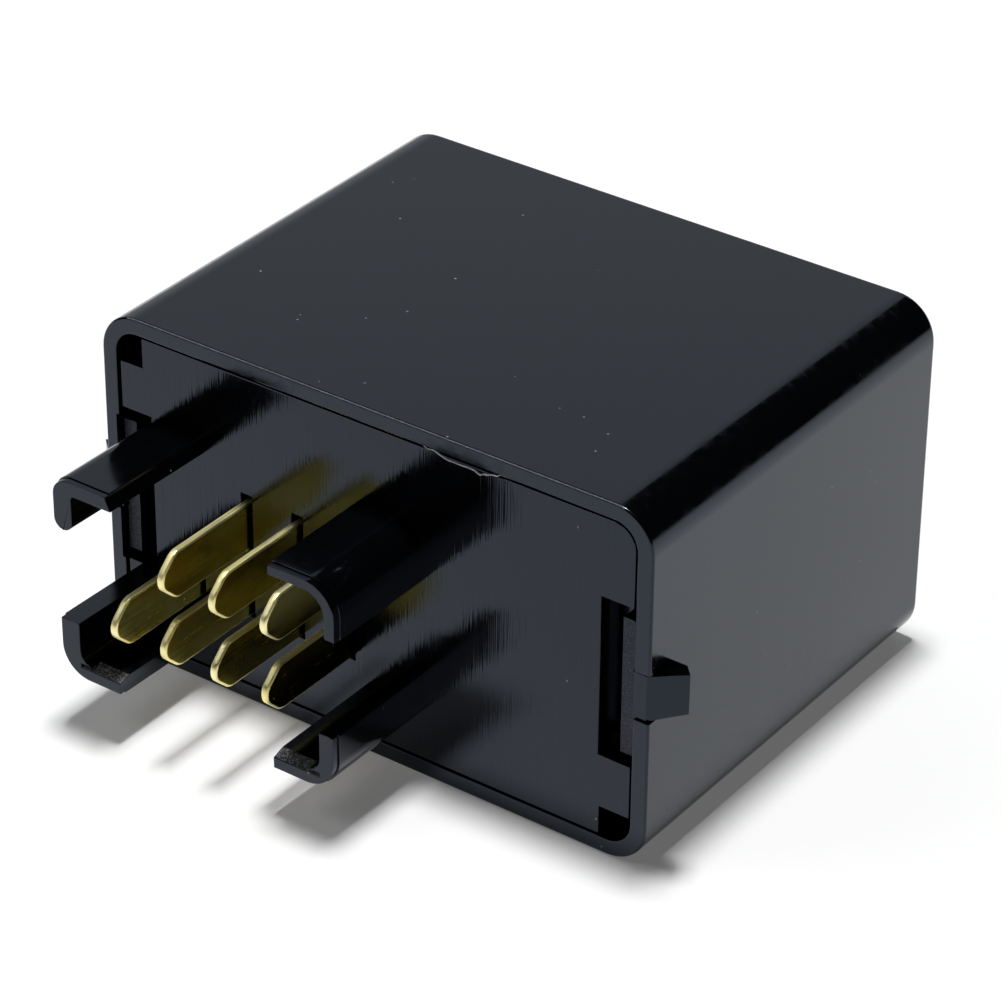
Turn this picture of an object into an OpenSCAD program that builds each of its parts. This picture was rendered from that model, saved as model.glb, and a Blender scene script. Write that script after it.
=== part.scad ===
// Plug-in relay unit with seven blades: a moulded case closed by a base plate that carries the guide
// prongs, the snap fingers and the terminals, with a circuit board and two small relays inside.
// X runs across the case, Y from the terminals towards the closed back, and Z up.
// The origin is the centre of the case's underside.

/* [Case] */
// Outer width of the case
case_w = 60; // [58:0.5:70]
// Outer height of the case
case_h = 36.2; // [35.5:0.1:42]
// Outer depth of the case, from the rim to the back
case_d = 45.5; // [44:0.5:60]
// Thickness of the case's walls
wall = 1.64; // [1.3:0.02:1.9]
// Radius of the four long edges
edge_r = 4.1; // [3:0.1:6]
// Rounding of the edges at the back
back_r = 0.6; // [0.3:0.1:1.2]
// Depth of the rim notches that let the latch noses out
notch_d = 4.2; // [4:0.1:6]
// Play between a latch nose and its notch, above and below
notch_play = 0.25; // [0.1:0.05:0.5]
// Depth of the relief in the side walls beside the snap fingers
relief = 0.35; // [0.2:0.05:0.5]
// Width of the guide rails inside the case
rail_w = 1.5; // [1:0.1:2.5]
// Height of the guide rails inside the case
rail_h = 0.9; // [0.5:0.1:1.2]
// Length of the guide rails inside the case
rail_len = 30; // [10:1:35]

/* [Base plate] */
// Thickness of the base plate
plate_t = 2.0; // [1.5:0.1:2.5]
// How far the base plate stands back from the rim
plate_recess = 0.3; // [0.1:0.05:0.6]
// Gap between the base plate and the inner walls
plate_gap = 0.28; // [0.1:0.02:0.4]
// Width of the notch in the upper left corner
upper_notch_w = 2.86; // [2:0.02:4]
// Height of the notch in the upper left corner
upper_notch_h = 3.36; // [2:0.02:4]
// Width of the notch in the lower right corner
lower_notch_w = 3.41; // [2:0.02:4]
// Height of the notch in the lower right corner
lower_notch_h = 3.01; // [2:0.02:4]

/* [Snap fingers] */
// Height of a snap finger, along the case's side
finger_h = 13.9; // [12:0.1:15]
// Thickness of a snap finger
finger_t = 1.5; // [1.2:0.1:1.8]
// Free space beside a snap finger for its inward travel
finger_travel = 1.9; // [1.5:0.1:2.2]
// Gap in the base plate below a snap finger
finger_low_gap = 0.75; // [0.5:0.05:1.2]
// Gap in the base plate above a snap finger
finger_high_gap = 1.65; // [0.5:0.05:2]
// How far the finger's end stands back from the rim
finger_recess = 0.8; // [0.4:0.1:1.2]
// How deep the finger's bend lies behind the rim
finger_bend = 7.8; // [7:0.1:8]
// Height of a latch nose
nose_h = 4.8; // [3.5:0.1:6]
// How far a latch nose stands out from the case's side
nose_reach = 2.35; // [1.5:0.05:3]
// Distance from the rim to the nose's steep rear face
nose_back = 3.75; // [3.3:0.05:3.9]
// How much the nose's underside rises towards its tip
nose_taper = 0.5; // [0.2:0.05:0.8]

/* [Guide prongs] */
// Outer width of the shroud that the four prongs outline
shroud_w = 31.6; // [31:0.1:34]
// Outer height of the shroud
shroud_h = 21.15; // [20.8:0.05:24]
// Distance from the case's left side to the shroud
shroud_inset = 4.25; // [3.5:0.05:6]
// Height of the shroud's centre above the underside
shroud_z = 15.475; // [15:0.025:17]
// Wall thickness of the prongs
prong_wall = 1.7; // [1.4:0.05:1.9]
// Length of the prongs in front of the rim
prong_len = 12.2; // [8:0.1:16]
// Corner radius of the upper prongs
prong_upper_r = 2.2; // [1.5:0.1:3]
// Corner radius of the lower prongs
prong_lower_r = 3.2; // [2:0.1:4]
// Bevel round the prongs' outer tips
prong_bevel = 0.45; // [0.2:0.05:0.7]
// Flare at the mouth between the prongs
leadin = 0.45; // [0.2:0.05:0.7]
// Depth of the flare
leadin_depth = 1.2; // [0.6:0.1:2]
// Length of a prong's horizontal leg
prong_leg_x = 6.85; // [5:0.05:8]
// Length of a prong's vertical leg
prong_leg_z = 5.4; // [4:0.05:7]
// Slant at the free end of the upper left leg
prong_slant = 0.55; // [0.2:0.05:0.8]

/* [Terminals] */
// Width of a blade
blade_w = 4.8; // [4.4:0.1:5.2]
// Thickness of a blade
blade_t = 0.8; // [0.6:0.05:1]
// Length of the blades in front of the rim
blade_len = 11.9; // [8:0.1:16]
// Width of a blade's blunt nose
blade_nose = 1.3; // [0.8:0.1:1.8]
// Length of the tapers at a blade's nose
blade_taper = 1.85; // [1:0.05:2.5]
// Width of the coined bevel along a blade's edges
coin = 0.3; // [0.1:0.05:0.4]
// Distance between the columns of blades
pitch_x = 5.75; // [5.5:0.05:6.2]
// Distance between the rows of blades
pitch_z = 7.25; // [7.2:0.05:7.6]
// Place of the first column, from the shroud's centre
first_column = -9.75; // [-10:0.05:-9.3]
// Place of the lower row, below the shroud's centre
lower_row = -3.725; // [-4:0.025:-3.5]
// Gap between a blade's left face and its slot
slot_left = 0.12; // [0.05:0.01:0.3]
// Gap between a blade's right face and its slot
slot_right = 0.35; // [0.1:0.05:0.5]
// Gap above a blade in its slot
slot_top = 0.8; // [0.2:0.05:1]
// Gap below a blade in its slot
slot_low = 0.15; // [0.05:0.05:0.3]
// How far the shoulders behind the base plate reach past the slot
shoulder_seat = 0.4; // [0.2:0.05:0.5]
// Length of the shoulder
shoulder_len = 2.0; // [1:0.1:3]
// Width of a terminal's solder tail
tail_w = 2.0; // [1.4:0.1:2.6]
// How far the solder tails stand out of the board
tail_out = 0.6; // [0.3:0.1:0.8]

/* [Circuit board] */
// Thickness of the circuit board
board_t = 1.6; // [1:0.1:1.6]
// Gap between the board's edges and the case's inner walls
board_gap = 1.6; // [1.4:0.1:2]
// Distance from the base plate to the board
board_space = 6.7; // [6.5:0.1:7.2]
// Diameter of the posts that carry the board
post_d = 3.4; // [3:0.1:4]
// Diameter of the pegs on the posts
peg_d = 1.8; // [1.4:0.1:2.2]
// Place of the posts, from the board's side edges
post_inset_x = 2.6; // [2.4:0.1:3.2]
// Place of the posts, from the board's top and bottom edges
post_inset_z = 3.0; // [2.6:0.1:3.2]
// Play round leads, tails and pegs in the board's holes
hole_play = 0.15; // [0.05:0.05:0.25]

/* [Relays] */
// Length of the winding between the bobbin's flanges
coil_len = 16; // [12:0.5:16.5]
// Outer diameter of the winding
coil_d = 11.4; // [9:0.2:11.8]
// Diameter of the iron core
core_d = 5.0; // [4:0.1:5.6]
// Diameter of the pole face at the core's end
pole_d = 8; // [6.5:0.1:9]
// Thickness of the pole face
pole_t = 1.2; // [0.8:0.1:1.5]
// Width of the bobbin's flanges, in percent of the case's width
flange_share = 20.67; // [20.2:0.01:21]
// Thickness of the bobbin's flanges
flange_t = 1.0; // [0.8:0.1:1.3]
// Wall thickness of the bobbin's barrel
barrel_wall = 0.8; // [0.6:0.1:1]
// Thickness of the yoke's iron
yoke_t = 1.6; // [1.2:0.1:1.8]
// Width of the yoke
yoke_w = 10; // [8:0.2:11]
// Gap between the bobbin's flanges and the yoke's leg
yoke_gap = 0.6; // [0.3:0.1:1]
// Thickness of the armature
armature_t = 1.4; // [1:0.1:1.6]
// How far the armature reaches past the core's axis
armature_reach = 7.2; // [6:0.1:7.6]
// Angle between the released and the pulled-in armature
armature_angle = 3; // [2:0.25:3.5]
// Gap left between the pulled-in armature and the pole
pole_gap = 0.05; // [0.03:0.01:0.1]
// Thickness of the contact spring
spring_t = 0.25; // [0.15:0.05:0.3]
// Length of the spring's leg behind the yoke
spring_leg = 11; // [8:0.5:14]
// Distance from the core's axis to the contacts
contact_y = 11; // [10.8:0.1:11.6]
// Diameter of the contact heads
contact_d = 3.0; // [2:0.1:3.4]
// Height of the contact heads
contact_h = 0.8; // [0.5:0.1:1]
// Diameter of the contact rivets' shanks
shank_d = 1.6; // [1.2:0.1:1.8]
// Clearance between contacts that rest on each other
contact_gap = 0.03; // [0.02:0.01:0.06]
// Thickness of the fixed contacts' strips
strip_t = 0.8; // [0.5:0.1:0.9]
// Width of the fixed contacts' strips
strip_w = 5; // [4:0.2:6]
// Thickness of the relays' plastic bases
base_t = 2.0; // [1.5:0.1:2.5]
// Height of the feet below the relays' bases
foot_h = 1.0; // [0.9:0.1:1.5]
// Distance of the relays' bases from the board's side edges
relay_inset = 1.4; // [1:0.1:2.4]

/* [Electronics] */
// Diameter of the larger capacitor
large_cap_d = 8; // [6:0.5:8.5]
// Height of the larger capacitor
large_cap_h = 12; // [9:0.5:20]
// Diameter of the smaller capacitor
small_cap_d = 5; // [4:0.5:5]
// Height of the smaller capacitor
small_cap_h = 11; // [7:0.5:16]
// Length of the control chip's body
chip_len = 9.6; // [9.2:0.1:10]
// Width of the control chip's body
chip_w = 5.2; // [4.6:0.1:5.6]
// Height of the control chip's body
chip_h = 3.2; // [2.6:0.1:3.6]
// Diameter of the wire leads
lead_d = 0.6; // [0.5:0.05:0.7]
// How far the leads stand out in front of the board
lead_out = 0.8; // [0.5:0.1:1]
// Diameter of the shunt link's wire
shunt_d = 1.0; // [0.8:0.1:1.2]

/* [Hidden] */
$fn = 48;
// Facets round a hull's children
hull_fn = 32;
// Overlap where one shape is fused into or cut through another
eps = 0.01;
over = 1;

rim_y = -case_d / 2;
inner_w = case_w - 2 * wall;
inner_h = case_h - 2 * wall;
inner_r = edge_r - wall;
mid_z = case_h / 2;
plate_back = plate_recess + plate_t;

// Differences between the prongs: the lower ones' taller legs, and the upper right one's longer leg.
prong_low_extra = 0.55;
prong_right_extra = 0.45;
// Straight stretch above the upper left leg's slanted end
prong_slant_flat = 0.35;
prong_least_r = 0.4;

// The snap fingers' outer face just clears the case's inner wall.
finger_clear = 0.26;
finger_out = inner_w / 2 - finger_clear;
finger_in = finger_out - finger_t;
slot_in = finger_in - finger_travel;
bend_r = (finger_out - slot_in + finger_t) / 2;
bend_x = finger_out - bend_r;
finger_z = mid_z - 0.3;
nose_z = mid_z - 0.4;
// The latch nose in plan: its root in the finger, the lead in front of the finger's end, the knee of
// its sloped front as shares of the reach, and the bevels at its tip.
nose_root = 0.3;
nose_lead = 0.55;
nose_flat = 0.26;
nose_knee = 0.5;
nose_knee_depth = 0.8;
nose_tip_front = 1.05;
nose_tip_rear = 1.0;

shroud_x = -case_w / 2 + shroud_inset + shroud_w / 2;
shroud_left = shroud_x - shroud_w / 2;
shroud_right = shroud_x + shroud_w / 2;
shroud_low = shroud_z - shroud_h / 2;
shroud_high = shroud_z + shroud_h / 2;

// Columns and rows of the seven blades: four below, three above.
blade_columns = [0, 1, 2, 3, 1, 2, 3];
blade_rows = [0, 0, 0, 0, 1, 1, 1];
function blade_x(i) = shroud_x + first_column + blade_columns[i] * pitch_x;
function blade_z(i) = shroud_z + lower_row + blade_rows[i] * pitch_z;

board_front = plate_back + board_space;
board_back = board_front + board_t;
board_w = inner_w - 2 * board_gap;
board_h = inner_h - 2 * board_gap;
board_corner = 1;
post_x = board_w / 2 - post_inset_x;
post_z = board_h / 2 - post_inset_z;

flange_w = case_w * flange_share / 100;

// Heights inside a relay, measured from the board.
base_top = foot_h + base_t;
yoke_top_of_leg = base_top + yoke_t;
flange_low = yoke_top_of_leg + flange_t;
flange_high = flange_low + coil_len;
pole_low = flange_high + flange_t;
pole_face = pole_low + pole_t;
armature_low = pole_face + pole_gap;
spring_low = armature_low + armature_t;
spring_high = spring_low + spring_t;

// Places across a relay's depth, measured from the core's axis, with the contacts on the positive side.
yoke_inner = -flange_w / 2 - yoke_gap;
yoke_outer = yoke_inner - yoke_t;
armature_w = yoke_w;
armature_corner = 1.5;
spring_w = 6;
spring_arm_w = 4;
spring_end = 1.7;
spring_tip = contact_y + spring_end;
spring_bend = 1.0;
spring_steps = 8;
rivet_h = 0.6;
strip_space = 0.4;
strip_step = 1.1;
strip_end = 1.8;
open_strip_y = spring_tip + strip_space;
closed_strip_y = open_strip_y + strip_t + strip_step;
strip_reach = contact_y - strip_end;
tail_strip_w = 1.6;
base_edge = 0.6;
base_side = 0.8;
base_w = flange_w + 2 * base_side;
base_foot = 2;
base_corner = 1;
core_neck_d = core_d - 1.4;
flange_corner = 1.2;
boss_d = 1.8;
boss_rise = 2;
base_low = yoke_outer - spring_bend - spring_t - base_edge;
base_high = closed_strip_y + strip_t + base_edge;
pin_d = 0.8;
pin_inset = 0.7;
pin_x = flange_w / 2 - pin_inset;
pin_y = contact_y;
pin_rise = 3.5;
fit = 0.05;

// The moving contact's lower face when the armature is pulled in, and its upper face when released.
contact_closed = spring_low - contact_h;
contact_far = contact_y + contact_d / 2 - yoke_outer;
contact_rise = spring_high + rivet_h - armature_low;
contact_open = armature_low + contact_far * sin(armature_angle) + contact_rise * cos(armature_angle);

relay_names = ["flasher", "cutoff"];
relay_x = board_w / 2 - relay_inset - base_w / 2;
relay_z = mid_z + (base_high + base_low) / 2;
relay_pieces = [
  "relay_base", "yoke", "core", "bobbin", "coil", "coil_pins", "armature", "contact_spring",
  "moving_contact", "open_contact_strip", "open_contact", "closed_contact_strip", "closed_contact"
];

// Electronics stand between the relays, at shares of that space's width and of the board's height.
middle_w = 2 * (relay_x - base_w / 2);
board_low = mid_z - board_h / 2;
cap_x = 0.194 * middle_w;
large_cap_z = board_low + 0.776 * board_h;
small_cap_z = board_low + 0.473 * board_h;
cap_lift = 0.5;
cap_pitch = 0.44;
cap_edge = 0.3;
cap_groove = 0.35;
cap_groove_low = 1.2;
cap_groove_high = 2.0;
cap_top_edge = 0.4;
axial_lift = 0.4;
axial_edge = 0.2;
axial_edge_len = 0.3;
chip_x = 0.185 * middle_w;
chip_z = board_low + 0.16 * board_h;
chip_lift = 0.8;
chip_pitch = 2.54;
chip_row = 3.3;
chip_leg_t = 0.25;
chip_leg_w = 1.1;
chip_pin_w = 0.5;
resistor_d = 2.3;
resistor_len = 6.3;
resistor_span = 8.6;
resistor_pitch = 0.132 * middle_w;
resistor_x = -0.348 * middle_w;
resistor_z = board_low + 0.813 * board_h;
diode_d = 2.0;
diode_len = 4.0;
diode_span = 6.0;
diode_x = [-0.326, -0.18] * middle_w;
diode_z = board_low + 0.13 * board_h;
transistor_x = blade_x(2) + pitch_x / 2;
transistor_z = shroud_z + lower_row + pitch_z / 2;
transistor_d = 4.6;
transistor_h = 4.6;
transistor_lift = 2.0;
transistor_pitch = 1.27;
transistor_flat = 1.2;
shunt_x = 0.2025 * middle_w;
shunt_z = board_low + 0.332 * board_h;
shunt_span = 7.4;
shunt_h = 4.5;

// Extrudes a section drawn in X and Z along Y, from a depth behind the rim.
module along_y(from, length) {
  translate([0, rim_y + from + length, 0])
    rotate([90, 0, 0])
      linear_extrude(height = length)
        children();
}

// Extrudes a section drawn in Y and Z along X, centred on X.
module along_x(width) {
  translate([-width / 2, 0, 0])
    rotate([90, 0, 90])
      linear_extrude(height = width)
        children();
}

// Puts what is drawn standing on the board's back at its place, with its height along Y.
module on_board(x, z) {
  translate([x, rim_y + board_back, z])
    rotate([-90, 0, 0])
      children();
}

// Puts a piece into one of the two relays.
module in_relay(k) {
  on_board(k == 0 ? -relay_x : relay_x, relay_z)
    children();
}

// Tips a piece about the yoke's outer edge, from pulled in to released.
module released() {
  translate([0, yoke_outer, armature_low])
    rotate([armature_angle, 0, 0])
      translate([0, -yoke_outer, -armature_low])
        children();
}

// A rectangle with one radius at its lower corners and another at its upper ones.
module rounded_rect(w, h, low_r, high_r) {
  x = w / 2;
  y = h / 2;
  polygon([
    [-x + low_r, -y], [x - low_r, -y], [x, -y + low_r], [x, y - high_r],
    [x - high_r, y], [-x + high_r, y], [-x, y - high_r], [-x, -y + low_r]
  ]);
  for (side = [-1, 1]) {
    translate([side * (x - low_r), -y + low_r])
      circle(r = low_r);
    translate([side * (x - high_r), y - high_r])
      circle(r = high_r);
  }
}

// The case's section, drawn in by an inset.
module case_section(inset) {
  translate([0, mid_z])
    rounded_rect(case_w - 2 * inset, case_h - 2 * inset, edge_r - inset, edge_r - inset);
}

// A rectangle between two corners.
module area(x0, x1, z0, z1) {
  translate([x0, z0])
    square([x1 - x0, z1 - z0]);
}

module case() {
  back_steps = 4;
  color([0.23, 0.25, 0.28])
  union() {
    difference() {
      union() {
        along_y(0, case_d - back_r)
          case_section(0);
        hull() {
          for (k = [0:back_steps]) {
            turn = 90 * k / back_steps;
            along_y(case_d - back_r * (1 - sin(turn)) - eps, eps)
              case_section(back_r * (1 - cos(turn)), $fn = hull_fn);
          }
        }
      }
      along_y(-over, case_d - wall + over)
        case_section(wall);
      for (side = [-1, 1]) {
        along_y(-over, notch_d + over)
          translate([side * (case_w - wall) / 2, nose_z])
            square([2 * wall, nose_h + 2 * notch_play], center = true);
        along_y(-over, notch_d + over)
          translate([side * (inner_w / 2 + relief - over), finger_z])
            square([2 * over, finger_h + 2 * finger_low_gap], center = true);
      }
    }
    for (side = [-1, 1], level = [-1, 1]) {
      along_y(plate_back, rail_len)
        translate([side * (inner_w / 2 - 2 * edge_r), mid_z + level * (inner_h - rail_h) / 2])
          square([rail_w, rail_h + 2 * eps], center = true);
    }
  }
}

// The plate's outline with its corner notches and the slots round the snap fingers.
module plate_section() {
  difference() {
    case_section(wall + plate_gap);
    area(-case_w, -inner_w / 2 + upper_notch_w, case_h - wall - upper_notch_h, case_h);
    area(inner_w / 2 - lower_notch_w, case_w, 0, wall + lower_notch_h);
    for (side = [-1, 1]) {
      translate([side * (slot_in + case_w / 2), finger_z + (finger_high_gap - finger_low_gap) / 2])
        square([case_w, finger_h + finger_low_gap + finger_high_gap], center = true);
    }
  }
}

// One side's snap finger in plan: a leg from the plate, a bend and the free finger.
module finger_plan() {
  difference() {
    union() {
      translate([slot_in - finger_t, plate_recess])
        square([finger_t, finger_bend - bend_r - plate_recess]);
      translate([finger_in, finger_recess])
        square([finger_t, finger_bend - bend_r - finger_recess]);
      intersection() {
        translate([bend_x, finger_bend - bend_r])
          circle(r = bend_r);
        translate([bend_x - bend_r, finger_bend - bend_r])
          square([2 * bend_r, bend_r]);
      }
    }
    translate([bend_x, finger_bend - bend_r])
      circle(r = bend_r - finger_t);
  }
}

// The latch nose in plan: a sloped front and a steep rear face.
module nose_plan() {
  root_x = finger_in + nose_root;
  side_x = case_w / 2;
  tip_x = side_x + nose_reach;
  front = finger_recess - nose_lead;
  polygon([
    [root_x, finger_recess],
    [finger_out, front],
    [side_x, front],
    [side_x + nose_flat * nose_reach, finger_recess],
    [side_x + nose_knee * nose_reach, finger_recess + nose_knee_depth],
    [tip_x, nose_back - nose_tip_front],
    [tip_x - nose_tip_rear, nose_back],
    [root_x, nose_back]
  ]);
}

// The latch nose from the front, with an underside that rises to the tip.
module nose_face() {
  low = nose_z - nose_h / 2;
  high = nose_z + nose_h / 2;
  tip_x = case_w / 2 + nose_reach;
  polygon([[finger_in, low], [case_w / 2, low], [tip_x, low + nose_taper], [tip_x, high], [finger_in, high]]);
}

module snap_finger() {
  translate([0, rim_y, finger_z - finger_h / 2])
    linear_extrude(height = finger_h)
      finger_plan();
  intersection() {
    translate([0, rim_y, nose_z - nose_h / 2])
      linear_extrude(height = nose_h)
        nose_plan();
    along_y(0, nose_back)
      nose_face();
  }
}

// The shroud's outline, drawn in by an inset.
module shroud_section(inset) {
  translate([shroud_x, shroud_z])
    rounded_rect(
      shroud_w - 2 * inset, shroud_h - 2 * inset,
      max(prong_lower_r - inset, prong_least_r), max(prong_upper_r - inset, prong_least_r)
    );
}

// The four L-shaped prongs in section: the shroud without its middle stretches.
module prong_section() {
  left_x = shroud_left + prong_leg_x;
  slant_x = left_x - prong_slant;
  right_x = shroud_right - prong_leg_x;
  long_x = right_x - prong_right_extra;
  difference() {
    shroud_section(0);
    shroud_section(prong_wall);
    area(
      shroud_left - over, shroud_right + over,
      shroud_low + prong_leg_z + prong_low_extra, shroud_high - prong_leg_z
    );
    area(left_x, right_x, shroud_low - over, shroud_z);
    polygon([
      [left_x, shroud_z],
      [long_x, shroud_z],
      [long_x, shroud_high + over],
      [slant_x, shroud_high + over],
      [slant_x, shroud_high - prong_slant_flat],
      [left_x, shroud_high - prong_wall]
    ]);
  }
}

module guide_prongs() {
  difference() {
    along_y(-prong_len, prong_len + plate_recess)
      prong_section();
    difference() {
      along_y(-prong_len - over, over + prong_bevel)
        shroud_section(-over);
      hull() {
        along_y(-prong_len - over, eps)
          shroud_section(prong_bevel + over, $fn = hull_fn);
        along_y(-prong_len + prong_bevel, eps)
          shroud_section(0, $fn = hull_fn);
      }
    }
    hull() {
      along_y(-prong_len - eps, eps)
        shroud_section(prong_wall - leadin, $fn = hull_fn);
      along_y(-prong_len + leadin_depth, eps)
        shroud_section(prong_wall, $fn = hull_fn);
    }
  }
}

// The posts that carry the board, with pegs through it, and the ribs between them.
module board_posts() {
  rib_t = 1.2;
  rib_h = 3;
  for (level = [-1, 1]) {
    for (side = [-1, 1]) {
      along_y(plate_back - eps, board_space + eps)
        translate([side * post_x, mid_z + level * post_z])
          circle(d = post_d);
      along_y(board_front - eps, board_t)
        translate([side * post_x, mid_z + level * post_z])
          circle(d = peg_d);
    }
    along_y(plate_back - eps, rib_h)
      translate([0, mid_z + level * post_z])
        square([2 * post_x, rib_t], center = true);
  }
}

module base_plate() {
  color([0.09, 0.09, 0.1])
  difference() {
    union() {
      along_y(plate_recess, plate_t)
        plate_section();
      guide_prongs();
      board_posts();
      snap_finger();
      mirror([1, 0, 0])
        snap_finger();
    }
    for (i = [0:6]) {
      along_y(plate_recess - over, plate_t + 2 * over)
        translate([blade_x(i) - blade_t / 2 - slot_left, blade_z(i) - blade_w / 2 - slot_low])
          square([blade_t + slot_left + slot_right, blade_w + slot_low + slot_top]);
    }
  }
}

// A blade's outline in Y and Z, drawn in by an inset, with its tapered nose.
module blade_outline(inset) {
  y0 = rim_y - blade_len + inset;
  y1 = rim_y + plate_back;
  half = blade_w / 2 - inset;
  nose = max(blade_nose / 2 - inset / 2, 0.1);
  polygon([
    [y0, -nose], [y0 + blade_taper, -half], [y1, -half],
    [y1, half], [y0 + blade_taper, half], [y0, nose]
  ]);
}

module terminal(i) {
  tail_end = board_back + tail_out;
  shoulder_low = -blade_w / 2 - slot_low - shoulder_seat;
  shoulder_high = blade_w / 2 + slot_top + shoulder_seat;
  color([0.86, 0.76, 0.42])
  translate([blade_x(i), 0, blade_z(i)])
  union() {
    hull() {
      along_x(blade_t / 2)
        blade_outline(0);
      along_x(blade_t)
        blade_outline(coin);
    }
    along_x(blade_t)
      translate([rim_y + plate_back, shoulder_low])
        square([shoulder_len, shoulder_high - shoulder_low]);
    along_x(blade_t)
      translate([rim_y + plate_back, -tail_w / 2])
        square([tail_end - plate_back, tail_w]);
  }
}

// Round holes for leads, at places given in X and Z.
module lead_holes(places, d) {
  for (p = places) {
    translate(p)
      circle(d = d + 2 * hole_play);
  }
}

function axial_places(x, z, span) = [[x, z - span / 2], [x, z + span / 2]];
function cap_places(x, z, pitch) = [[x - pitch / 2, z], [x + pitch / 2, z]];

module board_holes() {
  for (i = [0:6]) {
    translate([blade_x(i), blade_z(i)])
      square([blade_t + 2 * hole_play, tail_w + 2 * hole_play], center = true);
  }
  for (side = [-1, 1], level = [-1, 1]) {
    translate([side * post_x, mid_z + level * post_z])
      circle(d = peg_d + 2 * hole_play);
  }
  for (side = [-1, 1]) {
    for (y = [open_strip_y, closed_strip_y]) {
      translate([side * relay_x, relay_z - y - strip_t / 2])
        square([tail_strip_w + 2 * hole_play, strip_t + 2 * hole_play], center = true);
    }
    lead_holes([for (s = [-1, 1]) [side * relay_x + s * pin_x, relay_z - pin_y]], pin_d);
  }
  lead_holes(cap_places(cap_x, large_cap_z, large_cap_d * cap_pitch), lead_d);
  lead_holes(cap_places(cap_x, small_cap_z, small_cap_d * cap_pitch), lead_d);
  lead_holes(
    [for (i = [0:3], s = [-1, 1]) [chip_x + (i - 1.5) * chip_pitch, chip_z + s * chip_row]],
    chip_pin_w
  );
  for (i = [0:2]) {
    lead_holes(axial_places(resistor_x + i * resistor_pitch, resistor_z, resistor_span), lead_d);
  }
  for (x = diode_x) {
    lead_holes(axial_places(x, diode_z, diode_span), lead_d);
  }
  lead_holes([for (s = [-1:1]) [transistor_x + s * transistor_pitch, transistor_z]], lead_d);
  lead_holes(cap_places(shunt_x, shunt_z, shunt_span), shunt_d);
}

module circuit_board() {
  color([0.16, 0.36, 0.22])
  along_y(board_front, board_t)
    difference() {
      translate([0, mid_z])
        rounded_rect(board_w, board_h, board_corner, board_corner);
      board_holes();
    }
}

// The relay's moulded base, on four feet, with slots for what passes through it.
module relay_base() {
  depth = base_high - base_low;
  foot_x = base_w / 2 - base_corner - base_foot;
  back_foot_y = base_high - base_corner - base_foot;
  color([0.2, 0.2, 0.22])
  union() {
    difference() {
      translate([0, (base_high + base_low) / 2, foot_h])
        linear_extrude(height = base_t)
          rounded_rect(base_w, depth, base_corner, base_corner);
      for (y = [open_strip_y, closed_strip_y]) {
        translate([0, y + strip_t / 2, base_top / 2])
          cube([tail_strip_w + 2 * fit, strip_t + 2 * fit, base_top + over], center = true);
      }
      for (side = [-1, 1]) {
        translate([side * pin_x, pin_y, 0])
          cylinder(d = pin_d + 2 * fit, h = base_top + over);
      }
    }
    for (x = [-foot_x - base_foot, foot_x], y = [base_low + base_corner, back_foot_y]) {
      translate([x, y, 0])
        cube([base_foot, base_foot, foot_h + eps]);
    }
  }
}

// The L-shaped iron yoke, with two bosses that the contact spring's leg rests on.
module yoke() {
  color([0.62, 0.6, 0.55])
  difference() {
    union() {
      along_x(yoke_w) {
        area(yoke_outer + yoke_t, flange_w / 2, base_top, yoke_top_of_leg);
        area(yoke_outer, yoke_inner, base_top + yoke_t, pole_face);
        intersection() {
          translate([yoke_inner, yoke_top_of_leg])
            circle(r = yoke_t);
          area(yoke_outer, yoke_inner, base_top, yoke_top_of_leg);
        }
      }
      for (side = [-1, 1]) {
        translate([side * spring_w / 4, yoke_outer, pole_face - spring_leg + boss_rise])
          rotate([90, 0, 0])
            cylinder(d = boss_d, h = spring_bend - fit);
      }
    }
    translate([0, 0, base_top - over])
      cylinder(d = core_neck_d + 2 * fit, h = yoke_t + 2 * over);
  }
}

module core() {
  color([0.7, 0.7, 0.72])
  union() {
    translate([0, 0, base_top])
      cylinder(d = core_neck_d, h = yoke_t + eps);
    translate([0, 0, yoke_top_of_leg])
      cylinder(d = core_d, h = pole_low - yoke_top_of_leg + eps);
    translate([0, 0, pole_low])
      cylinder(d = pole_d, h = pole_t);
  }
}

module bobbin() {
  barrel_d = core_d + 2 * fit + 2 * barrel_wall;
  color([0.85, 0.84, 0.78])
  difference() {
    union() {
      for (z = [yoke_top_of_leg, flange_high]) {
        translate([0, 0, z])
          linear_extrude(height = flange_t)
            rounded_rect(flange_w, flange_w, flange_corner, flange_corner);
      }
      translate([0, 0, yoke_top_of_leg])
        cylinder(d = barrel_d, h = pole_low - yoke_top_of_leg);
    }
    translate([0, 0, yoke_top_of_leg - over])
      cylinder(d = core_d + 2 * fit, h = pole_low - yoke_top_of_leg + 2 * over);
  }
}

// The winding, with the slightly rounded ends that wound wire has.
module coil() {
  inner = core_d / 2 + 2 * fit + barrel_wall;
  round = 0.5;
  color([0.62, 0.28, 0.14])
  translate([0, 0, flange_low])
    rotate_extrude()
      polygon([
        [inner, 0], [coil_d / 2 - round, 0], [coil_d / 2, round],
        [coil_d / 2, coil_len - round], [coil_d / 2 - round, coil_len], [inner, coil_len]
      ]);
}

module coil_pins() {
  color([0.75, 0.75, 0.72])
  for (side = [-1, 1]) {
    translate([side * pin_x, pin_y, -board_t - lead_out])
      cylinder(d = pin_d, h = board_t + lead_out + base_top + pin_rise);
  }
}

module armature() {
  x = armature_w / 2;
  corner_x = x - armature_corner;
  corner_y = armature_reach - armature_corner;
  color([0.66, 0.65, 0.6])
  released()
    translate([0, 0, armature_low])
      linear_extrude(height = armature_t)
        polygon([
          [-x, yoke_outer], [x, yoke_outer], [x, corner_y],
          [corner_x, armature_reach], [-corner_x, armature_reach], [-x, corner_y]
        ]);
}

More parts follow.
